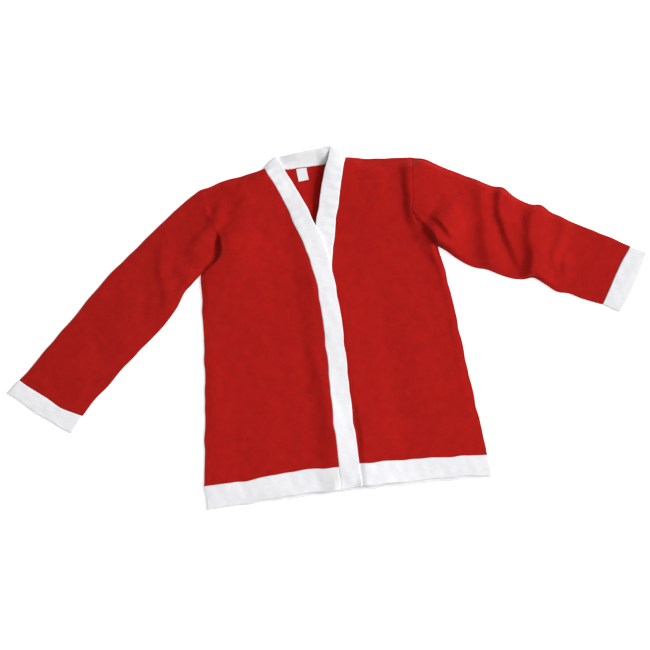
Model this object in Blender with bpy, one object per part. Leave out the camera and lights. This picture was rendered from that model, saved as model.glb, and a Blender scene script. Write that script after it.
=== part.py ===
"""Santa suit jacket of red felt with white felt trims, laid out flat on a floor.

Run with: blender --background --python part.py

The jacket lies on its back with its front upwards. The origin is on the floor under the centre back,
half-way between the hem and the shoulders. +X is the wearer's left, +Y runs from hem to neck, +Z is up.
Every table and size is in millimetres, and the meshes are made in metres.
"""

import bmesh
import bpy
import numpy as np

METRES = 0.001  # one millimetre

# The cloth
FELT = 1.6  # wall of the red felt
TRIM = 2.4  # wall of the white trims, a strip folded double
LABEL = 1.0  # wall of the woven label
SEAM_GAP = 0.3  # between two pieces that are sewn edge to edge
LAY_GAP = 0.4  # between two pieces that lie on each other

# The air between the two layers of the flat jacket
AIR = 2.4  # between back and front, away from the edges where they join
AIR_REACH = 26.0  # how far in from such an edge the air takes to open
FOLD_REACH = 22.0  # how far in from such an edge a fold takes to rise
FOLD_AT_EDGE = 0.35  # share of a fold's height that is left at such an edge


def table(columns, rows):
    """Rows of numbers, as a dictionary of named columns."""
    return dict(zip(columns.split(), np.array(rows, float).T))


def points_of(rows, names="x y"):
    """Columns of a table, side by side, as an array with a row for each point."""
    return np.stack([rows[name] for name in names.split()], axis=-1)


# Outlines of the laid jacket, seen from above. Each runs the way that its name says.
SIDE_RIGHT = table("x y", [(-312, -319), (-299, -220), (-286, -120), (-275, -15), (-267, 90), (-262, 153)])
SIDE_LEFT = table("x y", [(329, -326), (317, -215), (306, -110), (297, -10), (288, 70), (275, 151)])

ARMHOLE_RIGHT = table(  # armpit to shoulder
    "x y", [(-262, 153), (-249, 173), (-228, 194), (-213, 218), (-216, 246), (-228, 285), (-237, 318), (-241, 342)]
)
ARMHOLE_LEFT = table(
    "x y", [(275, 151), (256, 178), (238, 207), (229, 232), (231, 265), (236, 310), (241, 359)]
)

SHOULDER_RIGHT = table("x y", [(-241, 342), (-190, 355), (-136, 364), (-92, 373)])  # sleeve to neck
SHOULDER_LEFT = table("x y", [(241, 359), (215, 360), (170, 364), (92, 375)])

BACK_NECK = table("x y", [(-92, 373), (-66, 369), (-36, 366), (0, 365), (36, 366), (68, 369), (92, 375)])

HEM_SEAM_RIGHT = table("x y", [(-312, -319), (-212, -318), (-140, -312), (-72, -310), (-6, -313)])  # side to centre
HEM_SEAM_LEFT = table("x y", [(329, -326), (222, -319), (132, -314), (36, -310)])
HEM_EDGE_RIGHT = table("x y", [(-312, -374), (-209, -368), (-122, -363), (-8, -364)])
HEM_EDGE_LEFT = table("x y", [(332, -375), (284, -369), (216, -366), (126, -364), (36, -361)])
HEM_SEAM_BACK = table("x y", [(-312, -319), (-150, -321), (0, -322), (160, -324), (329, -326)])
HEM_EDGE_BACK = table("x y", [(-312, -374), (-150, -372), (0, -371), (160, -373), (332, -377)])

# The sleeves, a row for each section from the armhole to the cuff: its end on the folded top edge and
# its end at the seam under the arm. A section runs along a fold where there is one.
SLEEVE_RIGHT = table(
    "top_x top_y under_x under_y",
    [
        (-241, 342, -262, 153),
        (-270, 325, -285, 133),
        (-312, 297, -302, 119),
        (-361, 259, -343, 63),
        (-415, 218, -403, 14),
        (-473, 173, -442, -19),
        (-536, 114, -484, -55),
        (-614, 42, -532, -97),
        (-695, -32, -564, -129),
    ],
)
SLEEVE_LEFT = table(
    "top_x top_y under_x under_y",
    [
        (241, 359, 275, 151),
        (266, 351, 292, 140),
        (302, 331, 312, 121),
        (336, 313, 340, 100),
        (371, 294, 378, 85),
        (398, 279, 418, 67),
        (414, 272, 441, 57),
        (435, 266, 457, 54),
        (460, 242, 466, 55),
        (490, 222, 480, 55),
        (516, 217, 504, 38),
        (537, 197, 526, 20),
        (566, 179, 550, 11),
        (632, 142, 585, -5),
        (703, 101, 626, -23),
    ],
)
CUFF_SEAM_RIGHT = table("x y", [(-695, -32), (-655, -67), (-610, -105), (-564, -129)])
CUFF_EDGE_RIGHT = table("x y", [(-727, -57), (-683, -95), (-640, -131), (-594, -166)])
CUFF_SEAM_LEFT = table("x y", [(703, 101), (677, 61), (651, 19), (626, -23)])
CUFF_EDGE_LEFT = table("x y", [(740, 80), (716, 38), (690, -5), (664, -46)])

# The front band, from the hem up to the shoulder: its sewn edge, its free edge, and how far the free
# edge stands above the sewn one. The second row is where the sewn edge passes the hem's seam.
BAND_RIGHT = table(
    "seam_x seam_y free_x free_y rise",
    [
        (-8, -364, 39, -361, 0),
        (-6, -313, 40, -312, 0),
        (-6, -200, 38, -200, 0),
        (-3, -70, 39, -70, 0),
        (-3, 30, 39, 34, 0),
        (-6, 100, 34, 106, 0),
        (-15, 157, 27, 166, 1),
        (-29, 209, 12, 221, 3),
        (-48, 268, -11, 284, 9),
        (-70, 328, -36, 344, 16),
        (-92, 373, -63, 397, 21),
    ],
)
BAND_LEFT = table(
    "seam_x seam_y free_x free_y rise",
    [
        (36, -361, -5, -360, 0),
        (36, -310, -5, -309, 0),
        (34, -200, -4, -200, 0),
        (34, -70, -1, -70, 0),
        (33, 30, -1, 32, 0),
        (31, 100, -4, 106, 0),
        (36, 155, -6, 165, 0),
        (48, 209, 6, 221, 1),
        (61, 264, 20, 277, 4),
        (76, 320, 37, 335, 10),
        (92, 375, 62, 406, 18),
    ],
)
# The same band round the back of the neck, from the wearer's right shoulder to the left one.
BAND_NECK = table(
    "seam_x seam_y free_x free_y rise",
    [
        (-66, 369, -52, 397, 17),
        (-36, 366, -32, 398, 19),
        (0, 365, 2, 400, 20),
        (36, 366, 35, 403, 19),
        (68, 369, 55, 406, 16),
    ],
)

# Folds of the upper layer: the crease from (x0, y0) to (x1, y1), bowed sideways to the left of that
# way by bow, this wide to each side, and this high. A trough has a rise below 0.
FOLDS = table(
    "x0 y0 x1 y1 bow width rise",
    [
        # left sleeve: ripples across it, from the shoulder to the cuff
        (371, 285, 378, 100, -4, 14, -2.5),
        (398, 268, 416, 84, -4, 13, 6.0),
        (415, 262, 443, 72, -6, 11, -4.0),
        (436, 262, 457, 62, -5, 13, 15.0),
        (490, 214, 474, 64, -7, 11, -5.0),
        (514, 214, 502, 48, -4, 14, 14.0),
        (552, 180, 528, 30, 6, 12, -4.0),
        (584, 168, 552, 20, 8, 17, 5.0),
        (650, 110, 602, 6, 6, 16, 3.0),
        # left armhole: a trough beside the seam, the pocket under the arm and the folds round it
        (222, 350, 226, 190, 6, 9, -3.5),
        (200, 345, 202, 200, 6, 14, 4.5),
        (246, 214, 276, 146, -3, 9, -6.0),
        (252, 238, 298, 178, -8, 10, 9.0),
        (286, 262, 372, 180, -12, 20, 5.0),
        # right armhole: the deep crease up from under the arm, and the folds of the sleeve beside it
        (-256, 156, -212, 240, -15, 10, -7.0),
        (-286, 152, -234, 262, -20, 14, 9.0),
        (-222, 296, -286, 214, 2, 10, -3.0),
        (-262, 300, -300, 250, 2, 16, 4.0),
        (-190, 170, -178, 250, 4, 16, 3.0),
        # right sleeve: long soft folds
        (-350, 240, -350, 90, 4, 14, -3.0),
        (-322, 236, -322, 110, 4, 16, 3.5),
        (-392, 206, -400, 40, 4, 24, 3.0),
        (-470, 120, -520, 20, 4, 28, 2.0),
        (-600, 10, -540, -90, 6, 26, 2.5),
        # fronts: the drag lines from armhole to chest, and the fold beside the band
        (-108, 300, -160, 190, 8, 20, 2.5),
        (-70, 190, -150, 120, 8, 28, 1.5),
        (-46, -40, -40, -330, 4, 12, -2.5),
        (-20, -30, -18, -330, 3, 12, 1.5),
        (-150, -60, -160, -330, 8, 42, 1.5),
        (-262, 40, -290, -280, 4, 24, 1.2),
        (66, 40, 64, -330, 4, 16, -1.5),
        (150, 300, 140, 160, 6, 36, 1.5),
        (180, 20, 210, -280, 8, 42, 1.5),
        (262, 100, 296, -160, 4, 20, 1.2),
    ],
)

SLEEVE_ACROSS = np.linspace(0, 1, 11)  # places across a layer of a sleeve, and along an armhole
SLEEVE_STEPS = 3  # cells between two rows of a sleeve's table
SIDE_ROWS = 16  # cells up a side seam
FRONT_ACROSS = 1 - np.linspace(1, 0, 15) ** 1.4  # places across a front, closer towards the band
BACK_COLUMNS = 10  # cells along the back neck and along both shoulders
ARMPIT_LEVEL = 0.672  # share of the band seam, from the hem's seam up, that lies below the armpits
BAND_ACROSS = np.array([0.01, 0.35, 0.7, 1.0])  # places across the band, from sewn to free edge
NECK_ROWS = 15  # sections of the band round the back of the neck
TURN_ANGLES = np.radians([45, 0, -45])  # places round the band's turn over a shoulder
EDGE_ANGLES = np.radians([-90, 0, 90])  # places round a sleeve's pressed edge

LABEL_CORNERS = table("x y", [(-18, 334), (5, 336), (3, 358), (-20, 358)])


def knots_of(points):
    """Distance along the points, used as the curve's parameter."""
    return np.concatenate([[0], np.cumsum(np.linalg.norm(np.diff(points, axis=0), axis=1))])


def smooth(knots, values, at):
    """A smooth curve through values at knots, read at the given places. Each stretch is a cubic, and
    its slope at a knot is the mean of the slopes beside it, weighted by how near they are."""
    steps = np.diff(knots)[:, None]
    slopes = np.diff(values, axis=0) / steps
    inner = (slopes[:-1] * steps[1:] + slopes[1:] * steps[:-1]) / (steps[:-1] + steps[1:])
    tangents = np.concatenate([slopes[:1], inner, slopes[-1:]])
    i = np.clip(np.searchsorted(knots, at, side="right") - 1, 0, len(knots) - 2)
    h = steps[i]
    t = (np.asarray(at)[:, None] - knots[i][:, None]) / h
    return (
        (1 + 2 * t) * (1 - t) ** 2 * values[i]
        + t * (1 - t) ** 2 * h * tangents[i]
        + t**2 * (3 - 2 * t) * values[i + 1]
        + t**2 * (t - 1) * h * tangents[i + 1]
    )


def curve(rows, shares):
    """Points on the smooth curve through a table's points, at shares of its length."""
    points = points_of(rows)
    knots = knots_of(points)
    return smooth(knots, points, np.asarray(shares) * knots[-1])


def patch(start, end, first, last, across):
    """A grid of points between four curves that meet at the corners (a Coons patch). Rows run from
    start to end, the ends of the rows lie on first and last, and across gives the shares of a row."""
    u = across[None, :, None]
    v = np.linspace(0, 1, len(first))[:, None, None]
    across = (1 - v) * start[None] + v * end[None]
    along = (1 - u) * first[:, None] + u * last[:, None]
    corners = (
        (1 - u) * (1 - v) * start[0] + u * (1 - v) * start[-1] + (1 - u) * v * end[0] + u * v * end[-1]
    )
    return across + along - corners


def inset(plan, amount, edges="start end first last"):
    """The plan with those edges drawn in, square to each edge, to leave a gap at each seam."""
    moved = plan.copy()
    for edge, here, beside in (
        ("start", np.s_[0, :], np.s_[1, :]),
        ("end", np.s_[-1, :], np.s_[-2, :]),
        ("first", np.s_[:, 0], np.s_[:, 1]),
        ("last", np.s_[:, -1], np.s_[:, -2]),
    ):
        if edge not in edges.split():
            continue
        line = plan[here]
        along = np.gradient(line, axis=0)
        square = np.stack([-along[:, 1], along[:, 0]], axis=-1)
        square /= np.linalg.norm(square, axis=-1, keepdims=True)
        middle = len(line) // 2
        inward = np.sign((plan[beside] - line)[middle] @ square[middle])
        moved[here] += amount * inward * square
    return moved


def step(value):
    """0 below 0, 1 above 1, and a smooth rise between."""
    t = np.clip(value, 0, 1)
    return t * t * (3 - 2 * t)


def joined_edges():
    """The edges of the outline where the two layers meet: shoulders, sleeves and sides."""
    outline = []
    outline += [points_of(rows) for rows in (SHOULDER_RIGHT, SHOULDER_LEFT, SIDE_RIGHT, SIDE_LEFT)]
    for sleeve in (SLEEVE_RIGHT, SLEEVE_LEFT):
        outline += [points_of(sleeve, "top_x top_y"), points_of(sleeve, "under_x under_y")]
    for seam, edge in ((CUFF_SEAM_RIGHT, CUFF_EDGE_RIGHT), (CUFF_SEAM_LEFT, CUFF_EDGE_LEFT)):
        outline += [np.stack([points_of(seam)[end], points_of(edge)[end]]) for end in (0, -1)]
    for side, edge in ((SIDE_RIGHT, HEM_EDGE_RIGHT), (SIDE_LEFT, HEM_EDGE_LEFT)):
        outline.append(np.stack([points_of(side)[0], points_of(edge)[0]]))
    return outline


def distance_to_joined_edge(x, y):
    """Distance from each point to the nearest edge where the two layers meet."""
    at = np.stack([x, y], axis=-1)
    nearest = np.full(x.shape, np.inf)
    for line in joined_edges():
        for a, b in zip(line[:-1], line[1:]):
            way = b - a
            t = np.clip(((at - a) @ way) / (way @ way), 0, 1)
            nearest = np.minimum(nearest, np.linalg.norm(at - a - t[..., None] * way, axis=-1))
    return nearest


def fold_height(x, y):
    """Height of all folds together. Across a crease a fold is a bell of its width, and it fades out
    past the crease's ends."""
    height = np.zeros(x.shape)
    for x0, y0, x1, y1, bow, width, rise in zip(*FOLDS.values()):
        length = np.hypot(x1 - x0, y1 - y0)
        along = ((x - x0) * (x1 - x0) + (y - y0) * (y1 - y0)) / length**2
        aside = ((y - y0) * (x1 - x0) - (x - x0) * (y1 - y0)) / length
        inside = np.clip(along, 0, 1)
        off = aside - 4 * bow * inside * (1 - inside)
        past = (along - inside) * length / (2 * width)
        height += rise * np.exp(-((off / width) ** 2) - past**2)
    return height


def lift(x, y, lower=FELT, over=False):
    """Height of the upper layer's underside over the floor. It never comes nearer than LAY_GAP to the
    layer below, whose wall is lower. The layer that closes over the other front is over."""
    edge = distance_to_joined_edge(x, y)
    share = FOLD_AT_EDGE + (1 - FOLD_AT_EDGE) * step(edge / FOLD_REACH)
    height = AIR * (1 - np.exp(-edge / AIR_REACH)) + share * fold_height(x, y)
    clear = 0.5 * (height + np.sqrt(height**2 + 1))  # stays above 0 where a trough is deep
    hem = (TRIM - lower) * step((-285 - y) / 25)  # the back's trim is thicker than its felt
    overlap = (TRIM + LAY_GAP) * step((x + 62) / 42) * step((320 - y) / 60) if over else 0
    return lower + LAY_GAP + clear + hem + overlap


def wall_height(x, y, thickness, lower=FELT, over=False):
    """Height of a wall over its own underside, so that it is thickness thick across a slope."""
    nudge = 1.0
    slope_x = (lift(x + nudge, y, lower, over) - lift(x - nudge, y, lower, over)) / (2 * nudge)
    slope_y = (lift(x, y + nudge, lower, over) - lift(x, y - nudge, lower, over)) / (2 * nudge)
    return thickness * np.sqrt(1 + slope_x**2 + slope_y**2)


def raised(plan, height):
    """Points of a plan at that height."""
    return np.concatenate([plan, np.broadcast_to(height, plan.shape[:-1])[..., None]], axis=-1)


def material(name, colour, roughness):
    made = bpy.data.materials.new(name)
    made.use_nodes = True
    shader = made.node_tree.nodes["Principled BSDF"]
    shader.inputs["Base Color"].default_value = (*colour, 1)
    shader.inputs["Roughness"].default_value = roughness
    shader.inputs["Metallic"].default_value = 0
    return made


def solid(name, outer, inner, finish, ring=False):
    """A closed wall between two grids of points. A ring's columns close on themselves."""
    rows, columns = outer.shape[:2]
    steps = columns if ring else columns - 1
    first_inner = rows * columns

    def at(row, column):
        return row * columns + column % columns

    faces = []
    flat = outer.reshape(-1, 3)
    for row in range(rows - 1):
        for column in range(steps):
            a, b = at(row, column), at(row, column + 1)
            c, d = at(row + 1, column + 1), at(row + 1, column)
            if np.linalg.norm(flat[a] - flat[c]) <= np.linalg.norm(flat[b] - flat[d]):
                halves = [(a, b, c), (a, c, d)]
            else:
                halves = [(a, b, d), (b, c, d)]
            for half in halves:
                faces.append(half)
                faces.append([first_inner + corner for corner in reversed(half)])
    rims = [(at(row, column), at(row, column + 1)) for row in (0, rows - 1) for column in range(steps)]
    if not ring:
        rims += [(at(row, column), at(row + 1, column)) for column in (0, columns - 1) for row in range(rows - 1)]
    faces += [[a, b, first_inner + b, first_inner + a] for a, b in rims]

    mesh = bpy.data.meshes.new(name)
    points = np.concatenate([outer.reshape(-1, 3), inner.reshape(-1, 3)]) * METRES
    mesh.from_pydata(points.tolist(), [], faces)
    shape = bmesh.new()
    shape.from_mesh(mesh)
    bmesh.ops.recalc_face_normals(shape, faces=shape.faces)
    shape.to_mesh(mesh)
    shape.free()
    mesh.shade_smooth()
    mesh.set_sharp_from_angle(angle=np.radians(50))
    mesh.materials.append(finish)
    made = bpy.data.objects.new(name, mesh)
    bpy.context.scene.collection.objects.link(made)
    return made


def upper_panel(name, plan, thickness, finish, over=False):
    """A piece of the upper layer, over its plan."""
    x, y = plan[..., 0], plan[..., 1]
    low = lift(x, y, over=over)
    high = low + wall_height(x, y, thickness, over=over)
    return solid(name, raised(plan, high), raised(plan, low), finish)


def floor_panel(name, plan, thickness, finish):
    """A piece that lies on the floor."""
    return solid(name, raised(plan, thickness), raised(plan, 0), finish)


def front_plan(side, armhole, shoulder, band, hem_seam):
    """Plan of a front: rows run from its side to the band, and climb from the hem to the shoulder."""
    low = np.linspace(0, 1, SIDE_ROWS + 1)
    high = SLEEVE_ACROSS[1:]
    outer = np.concatenate([curve(side, low), curve(armhole, high)])
    seam = points_of(band, "seam_x seam_y")
    knots = knots_of(seam)
    levels = np.concatenate([low * ARMPIT_LEVEL, ARMPIT_LEVEL + high * (1 - ARMPIT_LEVEL)])
    inner = smooth(knots, seam, knots[1] + levels * (knots[-1] - knots[1]))
    return patch(curve(hem_seam, FRONT_ACROSS), curve(shoulder, FRONT_ACROSS), outer, inner, FRONT_ACROSS)


def back_plan():
    """Plan of the back: rows run from the wearer's right to the left, and climb from hem to neck."""
    low = np.linspace(0, 1, SIDE_ROWS + 1)
    high = SLEEVE_ACROSS[1:]
    right = np.concatenate([curve(SIDE_RIGHT, low), curve(ARMHOLE_RIGHT, high)])
    left = np.concatenate([curve(SIDE_LEFT, low), curve(ARMHOLE_LEFT, high)])
    shoulder = np.linspace(0, 1, BACK_COLUMNS // 2)
    neck = np.linspace(0, 1, BACK_COLUMNS + 1)[1:]
    top = np.concatenate(
        [curve(SHOULDER_RIGHT, shoulder), curve(BACK_NECK, neck), curve(SHOULDER_LEFT, shoulder[::-1])[1:]]
    )
    across = np.linspace(0, 1, len(top))
    return patch(curve(HEM_SEAM_BACK, across), top, right, left, across)


def strip_plan(seam, edge, across, rows):
    """Plan of a trim between its seam and its edge, with points at those shares of their length."""
    start, end = curve(seam, across), curve(edge, across)
    share = np.linspace(0, 1, rows + 1)[:, None, None]
    return (1 - share) * start[None] + share * end[None]


def flat_tube(plan, thickness):
    """Outer and inner rings of a tube pressed flat, from its plan. A row of the plan is a section, and
    runs from one pressed edge to the other. The lower layer lies on the floor."""
    x, y = plan[..., 0], plan[..., 1]
    low = lift(x, y, lower=thickness)
    high = low + wall_height(x, y, thickness, lower=thickness)
    inner_plan = plan[:, 1:-1]
    outer = [raised(inner_plan, 0)]
    inner = [raised(inner_plan, thickness)]
    for end, beside, angles in ((-1, -2, EDGE_ANGLES), (0, 1, EDGE_ANGLES[::-1])):
        way = plan[:, beside] - plan[:, end]
        way /= np.linalg.norm(way, axis=-1, keepdims=True)
        along = np.gradient(plan[:, end], axis=0)
        along /= np.linalg.norm(along, axis=-1, keepdims=True)
        slant = np.abs(way[:, 0] * along[:, 1] - way[:, 1] * along[:, 0])
        way /= np.maximum(slant, 0.4)[:, None]  # as wide where a section meets the edge aslant
        radius = high[:, end] / 2
        bore = radius - thickness
        for kept, turn in ((outer, radius), (inner, bore)):
            arc = [
                raised(plan[:, end] + (radius - turn * np.cos(angle))[:, None] * way, radius + turn * np.sin(angle))
                for angle in angles
            ]
            kept.append(np.stack(arc, axis=1))
        if end == -1:
            outer.append(raised(inner_plan, high[:, 1:-1])[:, ::-1])
            inner.append(raised(inner_plan, low[:, 1:-1])[:, ::-1])
    return np.concatenate(outer, axis=1), np.concatenate(inner, axis=1)


def sleeve_plan(sleeve, armhole, cuff_seam):
    """Plan of a sleeve: a row for each section, from its top edge to the seam under the arm. The first
    sections take the armhole's curve, and the last ones that of the cuff's seam."""
    rows = np.stack(list(sleeve.values()), axis=-1)
    knots = knots_of((rows[:, :2] + rows[:, 2:]) / 2)
    count = SLEEVE_STEPS * (len(rows) - 1) + 1
    at = np.interp(np.linspace(0, len(rows) - 1, count), np.arange(len(rows)), knots)
    sections = smooth(knots, rows, at)
    u = SLEEVE_ACROSS[None, :, None]
    v = (at / at[-1])[:, None, None]
    ruled = (1 - u) * sections[:, None, :2] + u * sections[:, None, 2:]
    start_off = curve(armhole, SLEEVE_ACROSS[::-1]) - ruled[0]
    end_off = curve(cuff_seam, SLEEVE_ACROSS) - ruled[-1]
    return ruled + (1 - step(v / 0.4)) * start_off + step((v - 0.7) / 0.3) * end_off


def band_side(band, shares, over):
    """Middle points of the front band on one front, from the hem to the shoulder."""
    values = np.stack(list(band.values()), axis=-1)
    knots = knots_of(values[:, :2])
    rows = smooth(knots, values, shares)
    rise = rows[:, 4]
    plan = rows[:, None, 0:2] + BAND_ACROSS[None, :, None] * (rows[:, None, 2:4] - rows[:, None, 0:2])
    base = lift(plan[..., 0], plan[..., 1], over=over) + TRIM / 2
    return raised(plan, base + rise[:, None] * stand(BAND_ACROSS))


def stand(across):
    """How the band climbs from its sewn edge, where it is level, to its free edge."""
    return across**2 * (2 - across)


def shoulder_turn(front, neck):
    """The band's turn over a shoulder, from the last section on the front to the first at the back: half
    a circle between them, and wider towards the free edge."""
    middle = (front + neck) / 2
    radius = (front[:, 2] - neck[:, 2]) / 2
    ruling = front[-1, :2] - front[0, :2]
    out = np.array([-ruling[1], ruling[0]]) / np.linalg.norm(ruling)
    out = out if out[1] > 0 else -out
    sections = []
    for angle in TURN_ANGLES:
        section = front + (neck - front) * (1 - np.sin(angle)) / 2
        section[:, :2] = middle[:, :2] + (front - neck)[:, :2] * np.sin(angle) / 2
        section[:, :2] += radius[:, None] * np.cos(angle) * out
        section[:, 2] = middle[:, 2] + radius * np.sin(angle)
        sections.append(section)
    return np.stack(sections)


def band_middle():
    """Middle points of the whole front band: rows run along it from the right hem to the left hem."""
    low = np.linspace(0, 1, SIDE_ROWS + 1)
    high = SLEEVE_ACROSS[1:]
    levels = np.concatenate([low * ARMPIT_LEVEL, ARMPIT_LEVEL + high * (1 - ARMPIT_LEVEL)])

    def side(band, over):
        knots = knots_of(points_of(band, "seam_x seam_y"))
        shares = np.concatenate([[0, knots[1] / 2], knots[1] + levels * (knots[-1] - knots[1])])
        return band_side(band, shares, over)

    right, left = side(BAND_RIGHT, True), side(BAND_LEFT, False)
    neck = np.stack(list(BAND_NECK.values()), axis=-1)
    ends = []
    for front in (right[-1], left[-1]):
        ends.append([*front[0, :2], *front[-1, :2], neck[0, 4]])
    rows = np.concatenate([[ends[0]], neck, [ends[1]]])
    knots = knots_of((rows[:, :2] + rows[:, 2:4]) / 2)
    rows = smooth(knots, rows, np.linspace(0, knots[-1], NECK_ROWS))
    plan = rows[:, None, 0:2] + BAND_ACROSS[None, :, None] * (rows[:, None, 2:4] - rows[:, None, 0:2])
    back = raised(plan, TRIM / 2 + rows[:, 4:5] * stand(BAND_ACROSS))
    return np.concatenate(
        [
            right,
            shoulder_turn(right[-1], back[0]),
            back,
            shoulder_turn(left[-1], back[-1])[::-1],
            left[::-1],
        ]
    )


def faces_of(middle, thickness):
    """The two faces of a strip, half its thickness to each side of its middle points."""
    along = np.gradient(middle, axis=0)
    across = np.gradient(middle, axis=1)
    normal = np.cross(along, across)
    normal /= np.linalg.norm(normal, axis=-1, keepdims=True)
    return middle + normal * thickness / 2, middle - normal * thickness / 2


def build():
    for old in list(bpy.data.objects):
        bpy.data.objects.remove(old)
    red = material("red_felt", (0.38, 0.012, 0.010), 0.95)
    white = material("white_felt", (0.83, 0.83, 0.85), 0.95)
    woven = material("label_cloth", (0.85, 0.85, 0.83), 0.7)
    half = SEAM_GAP / 2

    floor_panel("back_panel", inset(back_plan(), half), FELT, red)
    right = front_plan(SIDE_RIGHT, ARMHOLE_RIGHT, SHOULDER_RIGHT, BAND_RIGHT, HEM_SEAM_RIGHT)
    left = front_plan(SIDE_LEFT, ARMHOLE_LEFT, SHOULDER_LEFT, BAND_LEFT, HEM_SEAM_LEFT)
    upper_panel("front_right", inset(right, half), FELT, red, over=True)
    upper_panel("front_left", inset(left, half), FELT, red)

    sleeves = (
        ("right", SLEEVE_RIGHT, ARMHOLE_RIGHT, CUFF_SEAM_RIGHT, CUFF_EDGE_RIGHT),
        ("left", SLEEVE_LEFT, ARMHOLE_LEFT, CUFF_SEAM_LEFT, CUFF_EDGE_LEFT),
    )
    for name, sleeve, armhole, cuff_seam, cuff_edge in sleeves:
        plan = inset(sleeve_plan(sleeve, armhole, cuff_seam), half, "start end")
        solid("sleeve_" + name, *flat_tube(plan, FELT), red, ring=True)
        cuff = inset(strip_plan(cuff_seam, cuff_edge, SLEEVE_ACROSS, 3), half, "start")
        solid("cuff_" + name, *flat_tube(cuff, TRIM), white, ring=True)

    hem = strip_plan(HEM_SEAM_BACK, HEM_EDGE_BACK, np.linspace(0, 1, 15), 1)
    floor_panel("hem_band_back", inset(hem, half, "start"), TRIM, white)
    hem = strip_plan(HEM_SEAM_RIGHT, HEM_EDGE_RIGHT, FRONT_ACROSS, 3)
    upper_panel("hem_band_front_right", inset(hem, half, "start last"), TRIM, white, over=True)
    hem = strip_plan(HEM_SEAM_LEFT, HEM_EDGE_LEFT, FRONT_ACROSS, 3)
    upper_panel("hem_band_front_left", inset(hem, half, "start last"), TRIM, white)

    middle = band_middle()
    solid("front_band", *faces_of(middle, TRIM), white)

    corners = points_of(LABEL_CORNERS)
    label = corners[[[0, 1], [3, 2]]]
    solid("neck_label", raised(label, FELT + SEAM_GAP + LABEL), raised(label, FELT + SEAM_GAP), woven)


build()
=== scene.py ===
# %% [markdown]
# # A santa suit jacket, laid flat
#
# The real thing is a light costume jacket of red felt. A white felt strip goes up one front, round
# the neck and down the other, and more white strips finish the hem and the cuffs. It lies on its
# back on a floor, arms out, with a few soft folds left from handling.
#
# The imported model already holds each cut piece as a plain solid. This lesson gives every piece a
# finely divided cloth shell that follows the same cut, and then the felt itself, the light and the
# camera. All tables are in millimetres, because that is how cloth is cut. The scene is in metres.

import bpy
import numpy as np
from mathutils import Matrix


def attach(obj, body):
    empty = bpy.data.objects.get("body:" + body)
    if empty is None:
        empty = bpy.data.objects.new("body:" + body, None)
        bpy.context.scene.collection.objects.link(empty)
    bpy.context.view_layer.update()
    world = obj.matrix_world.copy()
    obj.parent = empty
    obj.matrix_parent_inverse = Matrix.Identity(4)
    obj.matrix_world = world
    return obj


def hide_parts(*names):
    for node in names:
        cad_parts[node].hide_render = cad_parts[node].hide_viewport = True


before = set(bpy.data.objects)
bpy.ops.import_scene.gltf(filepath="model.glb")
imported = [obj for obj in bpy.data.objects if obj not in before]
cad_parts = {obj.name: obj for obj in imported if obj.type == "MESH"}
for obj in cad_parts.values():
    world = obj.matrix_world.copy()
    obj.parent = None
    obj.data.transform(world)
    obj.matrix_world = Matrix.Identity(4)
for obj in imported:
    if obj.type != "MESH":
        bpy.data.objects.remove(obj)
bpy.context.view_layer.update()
METRES = 0.001  # one millimetre
print("cut pieces in the model:", ", ".join(sorted(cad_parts)))

# %% [markdown]
# ## The cloth
#
# Felt is a thick, soft sheet with no weave. The trims are strips of white felt folded along their
# length, so they are a little thicker than the red cloth and their free edge is a round fold. Where
# two pieces are sewn together, the stitching pulls the cloth down, and the seam shows as a soft
# groove. Those few sizes decide how every edge in the jacket looks.

# %% Cloth sizes
FELT = 1.6  # wall of the red felt
TRIM = 2.4  # wall of the white trims, a strip folded double
LABEL = 0.5  # wall of the woven label
LAY_GAP = 0.4  # between two pieces that lie on each other
SEAM_GAP = 0.16  # between two pieces that are sewn edge to edge

SEAM_ROUND = 2.4  # how far from a seam the cloth starts to sink into its groove
SEAM_DEPTH = 0.4  # how deep that groove is, as a share of the wall
FOLD_ROUND = 1.3  # radius of a folded or cut edge
RIM_SHARES = np.array([0, 0.08, 0.3, 0.62, 1.0])  # where the points of a round rim lie

CELL = 3.0  # usual distance between two points of a shell
FINE_CELL = 2.4  # the same for the pieces with folds


def rows_of(text):
    """An array from text, with blanks between the numbers and commas between the rows."""
    return np.array([row.split() for row in text.split(",")], float)


def table(columns, text):
    """Rows of numbers, as a dictionary of named columns."""
    return dict(zip(columns.split(), rows_of(text).T))


def points_of(rows, names="x y"):
    """Columns of a table, side by side, as an array with a row for each point."""
    return np.stack([rows[name] for name in names.split()], axis=-1)


print("walls of red felt, trim and label, in mm:", FELT, TRIM, LABEL)

# %% [markdown]
# ## The cut, seen from above
#
# Each table below is one line of the laid jacket, as a handful of points. A tailor's pattern is
# drawn in the same way: a few marked points, and a smooth curve through them. The curve used here is
# a cubic between each two points. Its slope at a point is the mean of the slopes beside it, so the
# line never swings far from the straight way. The plan's x runs to the wearer's left, its y to the neck.

# %% Outlines of the body
SIDE_RIGHT = table("x y", "-312 -319, -299 -220, -286 -120, -275 -15, -267 90, -262 153")
SIDE_LEFT = table("x y", "329 -326, 317 -215, 306 -110, 297 -10, 288 70, 275 151")

ARMHOLE_RIGHT = table(  # from the armpit to the shoulder
    "x y",
    "-262 153, -249 173, -228 194, -213 218, -216 246, -228 285, -237 318, -241 342",
)
ARMHOLE_LEFT = table("x y", "275 151, 256 178, 238 207, 229 232, 231 265, 236 310, 241 359")

SHOULDER_RIGHT = table("x y", "-241 342, -190 355, -136 364, -92 373")  # sleeve to neck
SHOULDER_LEFT = table("x y", "241 359, 215 360, 170 364, 92 375")
BACK_NECK = table("x y", "-92 373, -66 369, -36 366, 0 365, 36 366, 68 369, 92 375")

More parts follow.
